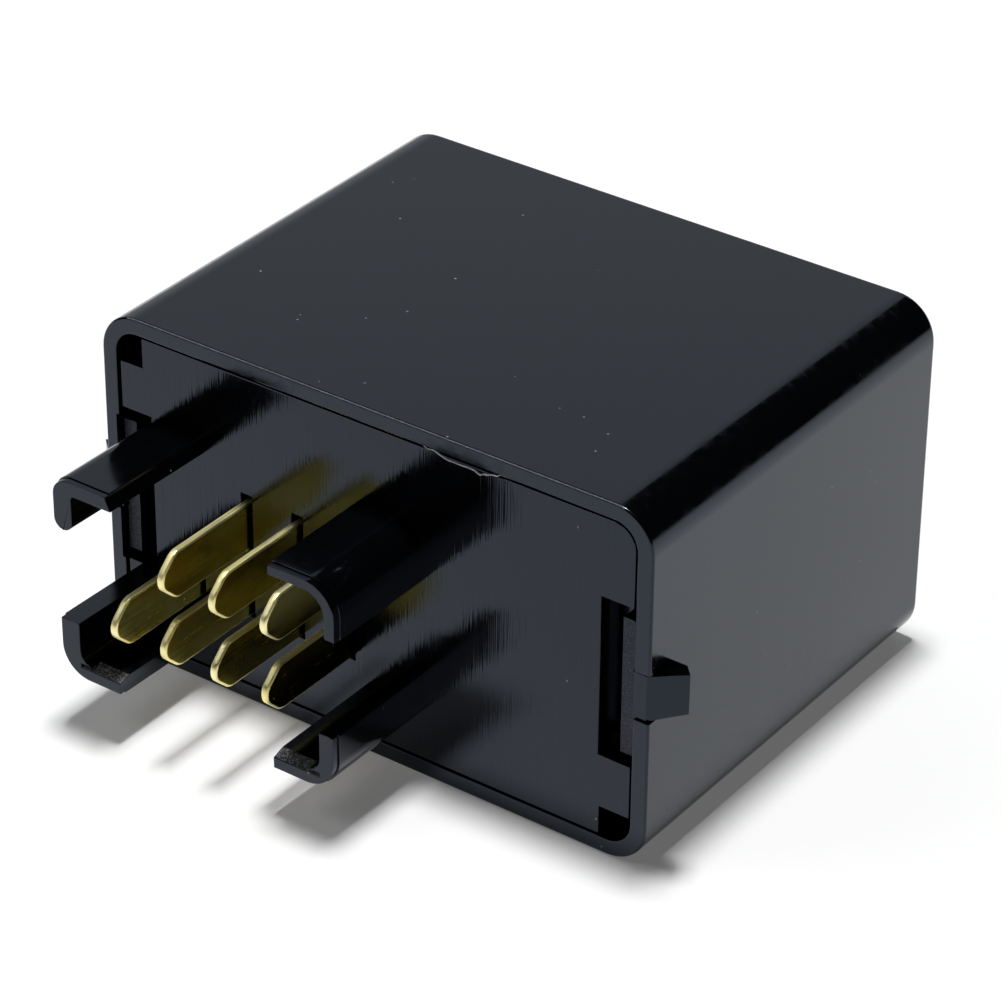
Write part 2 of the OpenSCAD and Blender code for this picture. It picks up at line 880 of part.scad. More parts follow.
// The contact spring from the side, with its arm level: arm, bend, and the leg behind the yoke.
// The leg leans by the armature's angle, so it hangs straight down while the armature is released.
module spring_profile() {
  bend_z = spring_low - spring_bend;
  last = 180 - armature_angle;
  lean = [-sin(armature_angle), -cos(armature_angle)] * spring_leg;
  inner = [
    for (k = [0:spring_steps])
      let (turn = 90 + (last - 90) * k / spring_steps)
      [yoke_outer + spring_bend * cos(turn), bend_z + spring_bend * sin(turn)]
  ];
  outer = [
    for (k = [spring_steps:-1:0])
      let (turn = 90 + (last - 90) * k / spring_steps, r = spring_bend + spring_t)
      [yoke_outer + r * cos(turn), bend_z + r * sin(turn)]
  ];
  polygon(concat(
    [[spring_tip, spring_low]], inner, [inner[spring_steps] + lean],
    [outer[0] + lean], outer, [[spring_tip, spring_high]]
  ));
}

// The contact spring from above, narrowed where it leaves the armature.
module spring_plan() {
  x = spring_w / 2;
  arm_x = spring_arm_w / 2;
  wide_y = armature_reach - 2;
  arm_y = armature_reach + 0.5;
  back_y = yoke_outer - spring_leg;
  front_y = spring_tip + over;
  polygon([
    [-x, back_y], [x, back_y], [x, wide_y], [arm_x, arm_y],
    [arm_x, front_y], [-arm_x, front_y], [-arm_x, arm_y], [-x, wide_y]
  ]);
}

// The leaf spring: an arm on the armature that carries the moving contact, and a leg behind the yoke.
module contact_spring() {
  color([0.8, 0.66, 0.4])
  released()
    difference() {
      intersection() {
        along_x(spring_w)
          spring_profile();
        linear_extrude(height = spring_high + spring_leg)
          spring_plan();
      }
      translate([0, contact_y, spring_low - over])
        cylinder(d = shank_d + 2 * fit, h = spring_t + 2 * over);
    }
}

module moving_contact() {
  color([0.85, 0.85, 0.87])
  released()
    translate([0, contact_y, spring_low])
      union() {
        translate([0, 0, -contact_h])
          cylinder(d = contact_d, h = contact_h);
        cylinder(d = shank_d, h = spring_t + eps);
        translate([0, 0, spring_t])
          cylinder(d = contact_d, h = rivet_h);
      }
}

// A fixed contact's strip: a leg standing in the base, an arm under or over the contact, and a tail.
module contact_strip(leg_y, arm_low) {
  arm_high = arm_low + strip_t;
  color([0.78, 0.6, 0.36])
  difference() {
    union() {
      translate([-strip_w / 2, leg_y, base_top])
        cube([strip_w, strip_t, arm_high - base_top]);
      translate([-strip_w / 2, strip_reach, arm_low])
        cube([strip_w, leg_y + strip_t - strip_reach, strip_t]);
      translate([-tail_strip_w / 2, leg_y, -board_t - lead_out])
        cube([tail_strip_w, strip_t, board_t + lead_out + base_top + eps]);
    }
    translate([0, contact_y, arm_low - over])
      cylinder(d = shank_d + 2 * fit, h = strip_t + 2 * over);
  }
}

// A fixed contact's rivet, drawn from its working face, with the head first.
module contact_rivet() {
  tail_d = contact_d - 0.6;
  tail_h = 0.4;
  color([0.85, 0.85, 0.87])
  union() {
    cylinder(d = contact_d, h = contact_h);
    cylinder(d = shank_d, h = contact_h + strip_t + eps);
    translate([0, 0, contact_h + strip_t])
      cylinder(d = tail_d, h = tail_h);
  }
}

open_face = contact_closed - contact_gap;
closed_face = contact_open + contact_gap;

module open_contact_strip() {
  contact_strip(open_strip_y, open_face - contact_h - strip_t);
}

module open_contact() {
  translate([0, contact_y, open_face])
    mirror([0, 0, 1])
      contact_rivet();
}

module closed_contact_strip() {
  contact_strip(closed_strip_y, closed_face + contact_h);
}

module closed_contact() {
  translate([0, contact_y, closed_face])
    contact_rivet();
}

// A can with a crimped groove near its foot and two leads.
module radial_capacitor(d, h) {
  groove_z = (cap_groove_low + cap_groove_high) / 2;
  r = d / 2;
  color([0.12, 0.14, 0.22])
  union() {
    translate([0, 0, cap_lift])
      rotate_extrude()
        polygon([
          [0, 0], [r - cap_edge, 0], [r, cap_edge], [r, cap_groove_low], [r - cap_groove, groove_z],
          [r, cap_groove_high], [r, h - cap_top_edge], [r - cap_top_edge, h], [0, h]
        ]);
    for (p = cap_places(0, 0, d * cap_pitch)) {
      translate([p[0], p[1], -board_t - lead_out])
        cylinder(d = lead_d, h = board_t + lead_out + cap_lift + eps);
    }
  }
}

module smoothing_capacitor() {
  on_board(cap_x, large_cap_z)
    radial_capacitor(large_cap_d, large_cap_h);
}

module timing_capacitor() {
  on_board(cap_x, small_cap_z)
    radial_capacitor(small_cap_d, small_cap_h);
}

module control_chip() {
  pin_z = chip_lift + chip_h / 2;
  taper = 0.2;
  shoulder_y = chip_w / 2 - chip_row - taper;
  color([0.13, 0.13, 0.14])
  on_board(chip_x, chip_z)
    union() {
      along_chip_body(taper);
      for (i = [0:3], side = [-1, 1]) {
        translate([(i - 1.5) * chip_pitch, side * chip_row, 0])
          union() {
            translate([-chip_leg_w / 2, side > 0 ? shoulder_y : -chip_leg_t / 2, pin_z - chip_leg_t])
              cube([chip_leg_w, chip_leg_t / 2 - shoulder_y, chip_leg_t]);
            translate([-chip_leg_w / 2, -chip_leg_t / 2, chip_lift])
              cube([chip_leg_w, chip_leg_t, pin_z - chip_lift]);
            translate([-chip_pin_w / 2, -chip_leg_t / 2, -board_t - lead_out])
              cube([chip_pin_w, chip_leg_t, board_t + lead_out + chip_lift + eps]);
          }
      }
    }
}

// The chip's body, with sides that slope to its parting line.
module along_chip_body(taper) {
  half = chip_w / 2;
  along_x(chip_len)
    polygon([
      [-half + taper, chip_lift], [half - taper, chip_lift], [half, chip_lift + chip_h / 2],
      [half - taper, chip_lift + chip_h], [-half + taper, chip_lift + chip_h], [-half, chip_lift + chip_h / 2]
    ]);
}

// A lying part with a lead bent down at each end.
module axial_part(length, d, span) {
  r = d / 2;
  axis_z = r + axial_lift;
  union() {
    rotate([90, 0, 0])
      translate([0, axis_z, -length / 2])
        rotate_extrude()
          polygon([
            [0, 0], [r - axial_edge, 0], [r, axial_edge_len],
            [r, length - axial_edge_len], [r - axial_edge, length], [0, length]
          ]);
    translate([0, span / 2, axis_z])
      rotate([90, 0, 0])
        cylinder(d = lead_d, h = span);
    for (side = [-1, 1]) {
      translate([0, side * span / 2, -board_t - lead_out])
        cylinder(d = lead_d, h = board_t + lead_out + axis_z + lead_d / 2);
    }
  }
}

module resistor(i) {
  color([0.78, 0.7, 0.55])
  on_board(resistor_x + i * resistor_pitch, resistor_z)
    axial_part(resistor_len, resistor_d, resistor_span);
}

module diode(i) {
  color([0.55, 0.25, 0.15])
  on_board(diode_x[i], diode_z)
    axial_part(diode_len, diode_d, diode_span);
}

module transistor() {
  color([0.13, 0.13, 0.14])
  on_board(transistor_x, transistor_z)
    union() {
      translate([0, 0, transistor_lift])
        linear_extrude(height = transistor_h)
          intersection() {
            circle(d = transistor_d);
            translate([-transistor_d / 2, -transistor_flat])
              square([transistor_d, transistor_d]);
          }
      for (s = [-1:1]) {
        translate([s * transistor_pitch, 0, -board_t - lead_out])
          cylinder(d = lead_d, h = board_t + lead_out + transistor_lift + eps);
      }
    }
}

// The shunt link: a bowed piece of thick wire that carries the lamps' current.
module shunt_link() {
  bend = shunt_span / 2;
  leg = shunt_h - bend;
  color([0.75, 0.72, 0.66])
  on_board(shunt_x, shunt_z)
    union() {
      for (side = [-1, 1]) {
        translate([side * bend, 0, -board_t - lead_out])
          cylinder(d = shunt_d, h = board_t + lead_out + leg);
      }
      translate([0, 0, leg])
        rotate([90, 0, 0])
          rotate_extrude(angle = 180)
            translate([bend, 0])
              circle(d = shunt_d);
    }
}

case();
base_plate();
for (i = [1:7]) {
  terminal(i - 1);
}
circuit_board();
for (k = [0, 1]) {
  in_relay(k) relay_base();
  in_relay(k) yoke();
  in_relay(k) core();
  in_relay(k) bobbin();
  in_relay(k) coil();
  in_relay(k) coil_pins();
  in_relay(k) armature();
  in_relay(k) contact_spring();
  in_relay(k) moving_contact();
  in_relay(k) open_contact_strip();
  in_relay(k) open_contact();
  in_relay(k) closed_contact_strip();
  in_relay(k) closed_contact();
}
control_chip();
smoothing_capacitor();
timing_capacitor();
for (i = [1:3]) {
  resistor(i - 1);
}
diode(0);  // flasher_diode
diode(1);  // cutoff_diode
transistor();
shunt_link();
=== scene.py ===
"""Looks of a plug-in relay unit with seven blades.

A moulded cover, a base moulding with four guide prongs and two snap fingers, seven punched blades, and,
inside, a circuit board with two small relays and their electronics. Lengths in the classes are in
millimetres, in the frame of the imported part: X across, Y from the blades towards the back, Z up.
"""
import logging
import math
from dataclasses import dataclass
from enum import Enum
from typing import Callable, Iterable, Optional, Sequence, Union

import bmesh
import bpy
from mathutils import Matrix, Vector


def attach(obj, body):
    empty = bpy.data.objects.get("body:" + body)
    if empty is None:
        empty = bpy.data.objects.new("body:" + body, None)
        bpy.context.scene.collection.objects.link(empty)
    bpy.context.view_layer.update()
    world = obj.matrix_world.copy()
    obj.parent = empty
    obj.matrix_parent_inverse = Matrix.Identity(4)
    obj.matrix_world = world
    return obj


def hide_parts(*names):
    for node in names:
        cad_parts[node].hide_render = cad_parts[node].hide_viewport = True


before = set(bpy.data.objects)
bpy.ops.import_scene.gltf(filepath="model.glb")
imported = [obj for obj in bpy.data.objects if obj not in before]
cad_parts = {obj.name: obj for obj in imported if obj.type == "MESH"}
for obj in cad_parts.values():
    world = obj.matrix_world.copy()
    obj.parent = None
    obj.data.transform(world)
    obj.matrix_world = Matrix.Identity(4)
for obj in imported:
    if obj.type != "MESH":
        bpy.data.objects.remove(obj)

log = logging.getLogger("relay")
HOUSING = "housing"

MM = 0.001  # metres in a millimetre; the lengths below are in millimetres
HAIR = 0.001  # the smallest length that counts
NEAR = 0.01  # how far two places that count as one may be apart
SLACK = 0.1  # how far a pick reaches past what it picks
SINK = 0.2  # how deep a small part starts inside the part that it is fused to
ROOT = 0.3  # the same for a large part
PAST = 1.0  # how far a cutter reaches past what it cuts
FAR = 40.0  # beyond the whole part
UNDER = -5.0  # below the whole part
ALONG = 0.9  # the least share of a direction that lies along an axis
ACROSS = 0.1  # the greatest share of one that runs across it
COOL_SHINE = (0.62, 0.76, 1.0)  # the tint of the black plastic's reflections

Point = tuple[float, float, float]
Colour = tuple[float, float, float]
Pair = tuple[float, float]
Socket = bpy.types.NodeSocket
Value = Union[float, Colour, Socket]
Test = Callable[[Vector, Vector], bool]


class Element(Enum):
    """What a selection in edit mode is made of."""

    EDGE = (False, True, False)
    FACE = (False, False, True)


def runs_deep(at: Vector, way: Vector) -> bool:
    """Says whether an edge at a place runs from front to back."""
    return abs(way.y) > ALONG


def deep_at(x: float, z: float) -> Test:
    """Returns a test for the edge that runs from front to back at X and Z."""
    return lambda at, way: runs_deep(at, way) and abs(at.x - x) + abs(at.z - z) < NEAR


def faces_front(at: Vector, normal: Vector) -> bool:
    """Says whether a face at a place looks to the front."""
    return normal.y < -ALONG


class Bench:
    """Handwork on one mesh: a primitive, edit-mode work on what is picked by place, and modifiers.

    Args:
        obj: The mesh object that is worked on.
    """

    CUT_MERGE = 0.004
    FLAT_ANGLE = 0.4
    FLAT_WEIGHT = 100
    SORT_DIGITS = 7

    def __init__(self, obj: bpy.types.Object) -> None:
        self.obj = obj

    @staticmethod
    def clear() -> None:
        """Leaves nothing selected, in object mode."""
        if bpy.context.object is not None and bpy.context.object.mode != "OBJECT":
            bpy.ops.object.mode_set(mode="OBJECT")
        bpy.ops.object.select_all(action="DESELECT")

    def take(self) -> None:
        """Makes this mesh the active one and the only one selected, in object mode."""
        self.clear()
        self.obj.select_set(True)
        bpy.context.view_layer.objects.active = self.obj

    @classmethod
    def _placed(cls, name: str) -> "Bench":
        """Takes the primitive that was just added, names it and applies its place.

        Args:
            name: The new object's name.

        Returns:
            A bench that holds the primitive.
        """
        obj = bpy.context.object
        obj.name = name
        obj.data.name = name
        bpy.ops.object.transform_apply(location=True, rotation=True, scale=True)
        return cls(obj)

    @classmethod
    def box(cls, name: str, low: Point, high: Point) -> "Bench":
        """Adds a box between two corners.

        Args:
            name: The new object's name.
            low: Its lowest corner.
            high: Its highest corner.

        Returns:
            A bench that holds the box.
        """
        cls.clear()
        middle = [(a + b) / 2 * MM for a, b in zip(low, high)]
        size = [(b - a) * MM for a, b in zip(low, high)]
        bpy.ops.mesh.primitive_cube_add(size=1, location=middle, scale=size)
        return cls._placed(name)

    @classmethod
    def cylinder(cls, name: str, centre: Point, radius: float, depth: float, sides: int) -> "Bench":
        """Adds a cylinder that lies from front to back.

        Args:
            name: The new object's name.
            centre: Its middle.
            radius: Its radius.
            depth: Its length.
            sides: The number of its sides.

        Returns:
            A bench that holds the cylinder.
        """
        cls.clear()
        bpy.ops.mesh.primitive_cylinder_add(
            vertices=sides, radius=radius * MM, depth=depth * MM,
            location=[c * MM for c in centre], rotation=(math.pi / 2, 0, 0),
        )
        return cls._placed(name)

    @classmethod
    def outline(cls, name: str, points: Sequence[Point], along: Point) -> "Bench":
        """Adds a flat face with its corners at the given points and extrudes it.

        Args:
            name: The new object's name.
            points: The corners of the face, in order.
            along: The way and distance of the extrusion.

        Returns:
            A bench that holds the prism.
        """
        cls.clear()
        bpy.ops.mesh.primitive_circle_add(vertices=len(points), radius=MM, fill_type="NGON")
        bench = cls._placed(name)
        for vertex, point in zip(bench.obj.data.vertices, points):
            vertex.co = Vector(point) * MM
        bench.edit()
        bpy.ops.mesh.select_all(action="SELECT")
        bench.extrude(along)
        bench.face_outwards()
        return bench.done()

    def edit(self) -> None:
        """Opens edit mode on this mesh alone."""
        self.take()
        bpy.ops.object.mode_set(mode="EDIT")

    def done(self) -> "Bench":
        """Closes edit mode and returns the bench."""
        if self.obj.mode == "EDIT":
            bpy.ops.object.mode_set(mode="OBJECT")
        return self

    def pick(self, element: Element, test: Test) -> None:
        """Selects edges or faces by place.

        Args:
            element: Edges or faces.
            test: Takes an element's middle and its direction, which is a face's normal or an edge's way.
        """
        if self.obj.mode != "EDIT":
            self.edit()
        bpy.context.tool_settings.mesh_select_mode = element.value
        bpy.ops.mesh.select_all(action="DESELECT")
        work = bmesh.from_edit_mesh(self.obj.data)
        if element is Element.FACE:
            for face in work.faces:
                if test(face.calc_center_median() / MM, face.normal):
                    face.select_set(True)
        else:
            for edge in work.edges:
                a, b = (v.co / MM for v in edge.verts)
                if test((a + b) / 2, (b - a).normalized()):
                    edge.select_set(True)
        bmesh.update_edit_mesh(self.obj.data)

    def bevel(self, offset: float, segments: int) -> None:
        """Rounds the picked edges.

        Args:
            offset: The width of the rounding.
            segments: The number of strips.
        """
        bpy.ops.mesh.bevel(offset=offset * MM, segments=segments, affect="EDGES", clamp_overlap=False)

    def inset(self, thickness: float) -> None:
        """Insets the picked faces by a thickness."""
        bpy.ops.mesh.inset(thickness=thickness * MM, depth=0, use_even_offset=True)

    def extrude(self, along: Point) -> None:
        """Extrudes the picked faces by a way."""
        bpy.ops.mesh.extrude_region_move(TRANSFORM_OT_translate={"value": [c * MM for c in along]})

    def move(self, way: Point) -> None:
        """Moves what is picked by a way."""
        bpy.ops.transform.translate(value=[c * MM for c in way])

    def spin(self, centre: Point, axis: Point, angle: float, steps: int) -> None:
        """Sweeps the picked faces about an axis.

        Args:
            centre: A point of the axis.
            axis: The axis's way.
            angle: The turn in degrees.
            steps: The number of steps.
        """
        bpy.ops.mesh.spin(steps=steps, angle=math.radians(angle), center=[c * MM for c in centre], axis=axis)

    def slice(self, point: Point, normal: Point) -> "Bench":
        """Cuts the mesh by a plane, takes off what lies on the normal's side and closes the cut.

        Args:
            point: A point of the plane.
            normal: The plane's normal.

        Returns:
            This bench.
        """
        self.edit()
        bpy.ops.mesh.select_all(action="SELECT")
        bpy.ops.mesh.bisect(
            plane_co=[c * MM for c in point], plane_no=normal, use_fill=True, clear_outer=True
        )
        return self.done()

    def face_outwards(self) -> None:
        """Merges doubles and turns all faces outwards."""
        bpy.ops.mesh.select_all(action="SELECT")
        bpy.ops.mesh.remove_doubles(threshold=HAIR * MM)
        bpy.ops.mesh.normals_make_consistent(inside=False)

    def modify(self, kind: str, **settings: object) -> "Bench":
        """Gives the mesh a modifier and applies it.

        Args:
            kind: The modifier's type.
            settings: Its settings by name.

        Returns:
            This bench.
        """
        self.take()
        step = self.obj.modifiers.new(kind.lower(), kind)
        for key, value in settings.items():
            setattr(step, key, value)
        bpy.ops.object.modifier_apply(modifier=step.name)
        return self

    def boolean(self, operation: str, tools: Iterable["Bench"]) -> "Bench":
        """Cuts with other meshes, or fuses them with this one.

        Args:
            operation: DIFFERENCE or UNION.
            tools: The other meshes, which are used up.

        Returns:
            This bench.
        """
        self.done()
        for tool in tools:
            tool.done()
            self.modify("BOOLEAN", operation=operation, solver="EXACT", object=tool.obj)
            bpy.data.objects.remove(tool.obj, do_unlink=True)
        self.sort()
        return self

    def sort(self) -> None:
        """Puts the mesh's elements in order of place, so that later steps give the same result each run."""
        work = bmesh.new()
        work.from_mesh(self.obj.data)

        def place(element: object) -> list[tuple[float, ...]]:
            """Returns the places of an element's corners, in order."""
            corners = getattr(element, "verts", [element])
            return sorted(tuple(round(c, self.SORT_DIGITS) for c in corner.co) for corner in corners)

        for elements in (work.verts, work.edges, work.faces):
            for rank, element in enumerate(sorted(elements, key=place)):
                element.index = rank
            elements.sort()
        work.to_mesh(self.obj.data)
        work.free()

    def tidy(self) -> "Bench":
        """Merges doubles and flat leftovers of a cut, and returns the bench."""
        self.edit()
        bpy.ops.mesh.select_all(action="SELECT")
        bpy.ops.mesh.remove_doubles(threshold=self.CUT_MERGE * MM)
        bpy.ops.mesh.dissolve_limited(angle_limit=math.radians(self.FLAT_ANGLE))
        return self.done()

    def round_edges(self, width: float, segments: int, angle: float,
                    where: Optional[Callable[[Vector], bool]] = None) -> "Bench":
        """Rounds outer edges sharper than an angle; inner corners stay sharp.

        Args:
            width: The width of the rounding.
            segments: The number of strips.
            angle: The smallest angle that is rounded, in degrees.
            where: Takes an edge's middle; without it, all such edges are rounded.

        Returns:
            This bench.
        """
        self.done()
        work = bmesh.new()
        work.from_mesh(self.obj.data)
        layer = work.edges.layers.float.new("bevel_weight_edge")
        for edge in work.edges:
            middle = (edge.verts[0].co + edge.verts[1].co) / 2 / MM
            outer = edge.is_manifold and edge.calc_face_angle_signed(0) > math.radians(angle)
            edge[layer] = 1.0 if outer and (where is None or where(middle)) else 0.0
        work.to_mesh(self.obj.data)
        work.free()
        return self.modify("BEVEL", width=width * MM, segments=segments, limit_method="WEIGHT",
                           use_clamp_overlap=False, miter_outer="MITER_ARC")

    def smooth(self, angle: float) -> "Bench":
        """Shades the mesh smooth, with flat faces kept flat.

        Args:
            angle: Edges sharper than this, in degrees, stay sharp.

        Returns:
            This bench.
        """
        self.done().take()
        bpy.ops.object.shade_smooth_by_angle(angle=math.radians(angle))
        return self.modify("WEIGHTED_NORMAL", keep_sharp=True, weight=self.FLAT_WEIGHT)

    def coat(self, material: bpy.types.Material, test: Optional[Test] = None) -> int:
        """Gives the mesh, or only those of its faces that are picked by place, a finish.

        Args:
            material: The finish.
            test: Takes a face's middle and its normal; without it, all faces are meant.

        Returns:
            The number of faces that took the finish.
        """
        slots = self.done().obj.data.materials
        if test is None:
            slots.clear()
        slots.append(material)
        found = 0
        for face in self.obj.data.polygons:
            if test is None or test(face.center / MM, face.normal):
                face.material_index = len(slots) - 1
                found += 1
        return found

    def joined(self, others: Iterable["Bench"]) -> "Bench":
        """Joins other meshes into this one, as they are.

        Args:
            others: The other meshes, which are used up.

        Returns:
            This bench.
        """
        self.take()
        for other in others:
            other.done().obj.select_set(True)
        bpy.ops.object.join()
        return self

    def copied(self, name: str) -> "Bench":
        """Returns a copy with its own mesh, under a new name."""
        twin = self.obj.copy()
        twin.data = self.obj.data.copy()
        twin.name = name
        twin.data.name = name
        bpy.context.scene.collection.objects.link(twin)
        return Bench(twin)

    def mirrored(self, name: str) -> "Bench":
        """Returns a copy mirrored across X, with its faces turned outwards again."""
        twin = self.copied(name)
        for vertex in twin.obj.data.vertices:
            vertex.co.x = -vertex.co.x
        twin.edit()
        bpy.ops.mesh.select_all(action="SELECT")
        bpy.ops.mesh.flip_normals()
        return twin.done()


@dataclass(frozen=True)
class Pattern:
    """The sizes of one soft random pattern.

    Args:
        scale: Cells in a metre.
        detail: The number of finer layers.
        rough: How strong the finer layers are.
        stretch: How many times denser it is along each axis; a small share draws it out into lines.
        turn: Its turn about Z, in degrees.
    """

    scale: float
    detail: float = 2
    rough: float = 0.55
    stretch: Optional[Point] = None
    turn: float = 0.0


@dataclass(frozen=True)
class Specks:
    """Scattered specks that gather in patches.

    Args:
        scale: Points in a metre.
        size: Where a speck starts to fade and where it ends, in cells.
        patches: The pattern of the patches.
        edge: The values of that pattern between which a patch ends.
    """

    scale: float
    size: Pair
    patches: Pattern
    edge: Pair


class Shader:
    """A material's node tree, with one principled surface.

    Args:
        name: The material's name.
    """

    def __init__(self, name: str) -> None:
        self.material = bpy.data.materials.new(name)
        self.material.use_nodes = True
        self.nodes = self.material.node_tree.nodes
        self.surface = self.nodes["Principled BSDF"]
        self.place = self.nodes.new("ShaderNodeTexCoord").outputs["Object"]

    def put(self, socket: Socket, value: Value) -> None:
        """Gives an input socket its value.

        Args:
            socket: The input.
            value: A number, a colour, or an output that is linked to the input.
        """
        if isinstance(value, Socket):
            self.material.node_tree.links.new(value, socket)
        else:
            socket.default_value = (*value, 1) if isinstance(value, tuple) else value

    def give(self, name: str, value: Value) -> None:
        """Gives the surface a value by its input's name."""
        self.put(self.surface.inputs[name], value)

    def add(self, kind: str, inputs: Optional[dict[Union[str, int], Value]] = None,
            **properties: object) -> bpy.types.Node:
        """Adds a node, sets its properties and fills its inputs.

        Args:
            kind: The node's type, without its prefix.
            inputs: Values by the input's name or number.
            properties: Properties by name.

        Returns:
            The node.
        """
        node = self.nodes.new("ShaderNode" + kind)
        for key, value in properties.items():
            setattr(node, key, value)
        for key, value in (inputs or {}).items():
            self.put(node.inputs[key], value)
        return node

    def noise(self, pattern: Pattern) -> Socket:
        """Returns a soft random pattern of the given sizes."""
        at = self.place
        if pattern.stretch:
            mapping = self.add("Mapping", {"Vector": at})
            mapping.inputs["Scale"].default_value = pattern.stretch
            mapping.inputs["Rotation"].default_value = (0, 0, math.radians(pattern.turn))
            at = mapping.outputs["Vector"]
        return self.add("TexNoise", {
            "Scale": pattern.scale, "Detail": pattern.detail, "Roughness": pattern.rough, "Vector": at,
        }).outputs["Fac"]

    def ramp(self, value: Socket, spread: Pair, result: Pair = (0.0, 1.0)) -> Socket:
        """Returns a value spread from one range to another, and held at its ends.

        Args:
            value: The value.
            spread: Where the spread begins and ends.
            result: The result at those two.
        """
        return self.add("MapRange", {
            "Value": value, "From Min": spread[0], "From Max": spread[1],
            "To Min": result[0], "To Max": result[1],
        }, clamp=True).outputs["Result"]

    def maths(self, operation: str, a: Value, b: Value) -> Socket:
        """Returns the result of one sum.

        Args:
            operation: The sum's name in Blender.
            a: The first value.
            b: The second value.
        """
        return self.add("Math", {0: a, 1: b}, operation=operation).outputs["Value"]

    def product(self, a: Value, b: Value) -> Socket:
        """Returns one value times the other."""
        return self.maths("MULTIPLY", a, b)

    def blend(self, share: Socket, first: Value, second: Value) -> Socket:
        """Returns a mix of two colours.

        Args:
            share: The share of the second colour.
            first: The first colour.
            second: The second colour.
        """
        return self.add("Mix", {"Factor": share, 6: first, 7: second}, data_type="RGBA").outputs[2]

    def specks(self, specks: Specks, light: float) -> Socket:
        """Returns scattered specks.

        Args:
            specks: Their sizes.
            light: Their value, on a ground of 0.
        """
        cells = self.add("TexVoronoi", {"Scale": specks.scale, "Vector": self.place})
        dots = self.ramp(cells.outputs["Distance"], specks.size, (light, 0))
        return self.product(dots, self.ramp(self.noise(specks.patches), specks.edge))

    def bump(self, height: Socket, depth: float) -> None:
        """Raises the surface by a pattern.

        Args:
            height: The pattern, from 0 to 1.
            depth: The depth of the pattern.
        """
        node = self.add("Bump", {"Distance": depth * MM, "Strength": 1.0, "Height": height})
        self.give("Normal", node.outputs["Normal"])


@dataclass(frozen=True)
class MouldedPlastic:
    """Black moulded plastic with polishing lines from its mould, scuffs and dust.

    Args:
        name: The material's name.
        tint: Its colour.
        shine: The tint of its reflections.
        gloss: Its least roughness.
        haze: How much rougher it gets in its scuffs and along its hairlines.
        density: Its refractive index, which sets how strongly it mirrors.
        relief: How deep its broad sink waves are.
        lines: How deep the mould's upright polishing lines are.
        lines_from: The Y between whose two values the lines begin; the prongs in front have none.
        dust: How light its dust specks are.
    """

    name: str
    tint: Colour = (0.0010, 0.0012, 0.0017)
    shine: Colour = COOL_SHINE
    gloss: float = 0.13
    haze: float = 0.10
    density: float = 1.5
    relief: float = 0.02
    lines: float = 0.0
    lines_from: Pair = (-22.9, -22.7)
    dust: float = 0.5
    dust_tint: Colour = (0.42, 0.42, 0.44)
    dust_rough: float = 0.5
    dust_specks: Specks = Specks(450, (0.030, 0.060), Pattern(260, 1, 0.5), (0.53, 0.58))
    broad_scuffs: Pattern = Pattern(60, 4, 0.6)
    fine_scuffs: Pattern = Pattern(900, 2, 0.5)
    scuffed: Pair = (0.20, 0.36)
    hairs: Pattern = Pattern(2600, 1, 0.5, (0.05, 1.0, 1.0), 31)
    scratched: Pair = (0.70, 0.74)
    sinks: Pattern = Pattern(45, 2, 0.5)
    coarse_lines: Pattern = Pattern(3000, 1, 0.5, (1.0, 1.0, 0.03))
    fine_lines: Pattern = Pattern(8500, 1, 0.5, (1.0, 1.0, 0.02))

    def material(self) -> bpy.types.Material:
        """Returns the finish as a material."""
        s = Shader(self.name)
        scuff = s.ramp(s.product(s.noise(self.broad_scuffs), s.noise(self.fine_scuffs)), self.scuffed)
        rough = s.ramp(scuff, (0, 1), (self.gloss, self.gloss + self.haze))
        hair = s.ramp(s.noise(self.hairs), self.scratched)
        rough = s.maths("ADD", rough, s.product(hair, self.haze))
        speck = s.specks(self.dust_specks, self.dust)
        s.give("Base Color", s.blend(speck, self.tint, self.dust_tint))
        s.give("Roughness", s.maths("ADD", rough, s.product(speck, self.dust_rough)))
        s.give("IOR", self.density)
        s.give("Specular Tint", self.shine)
        height = s.noise(self.sinks)
        if self.lines:
            upright = s.maths("ADD", s.noise(self.coarse_lines), s.noise(self.fine_lines))
            upright = s.maths("SUBTRACT", upright, 1.0)
            depth = s.add("SeparateXYZ", {0: s.place}).outputs["Y"]
            start, end = (y * MM for y in self.lines_from)
            upright = s.product(upright, s.ramp(depth, (start, end)))
            height = s.maths("ADD", height, s.product(upright, self.lines / self.relief))
        s.bump(height, self.relief)
        return s.material


@dataclass(frozen=True)
class TrimmedPlastic:
    """Plastic that was cut, torn or scuffed, and lighter strips that paint a highlight or light: lighter,
    rough and full of small crumbs.

    Args:
        name: The material's name.
        tint: Its colour between the crumbs.
        crumb: The colour of the crumbs.
        density: Its refractive index.
        relief: How deep the crumbs' relief is.
    """

    name: str
    tint: Colour = (0.006, 0.0062, 0.008)
    crumb: Colour = (0.085, 0.083, 0.092)
    density: float = 1.4
    relief: float = 0.09
    coarse: Pattern = Pattern(4200, 3, 0.7)
    fine: Pattern = Pattern(9500, 2, 0.6)
    crumbed: Pair = (0.24, 0.40)
    roughened: Pair = (0.2, 0.4)
    rough: Pair = (0.34, 0.6)

    def material(self) -> bpy.types.Material:
        """Returns the finish as a material."""
        s = Shader(self.name)
        crumbs = s.product(s.noise(self.coarse), s.noise(self.fine))
        s.give("Base Color", s.blend(s.ramp(crumbs, self.crumbed), self.tint, self.crumb))
        s.give("Roughness", s.ramp(crumbs, self.roughened, self.rough))
        s.give("IOR", self.density)
        s.give("Specular Tint", COOL_SHINE)
        s.bump(crumbs, self.relief)
        return s.material


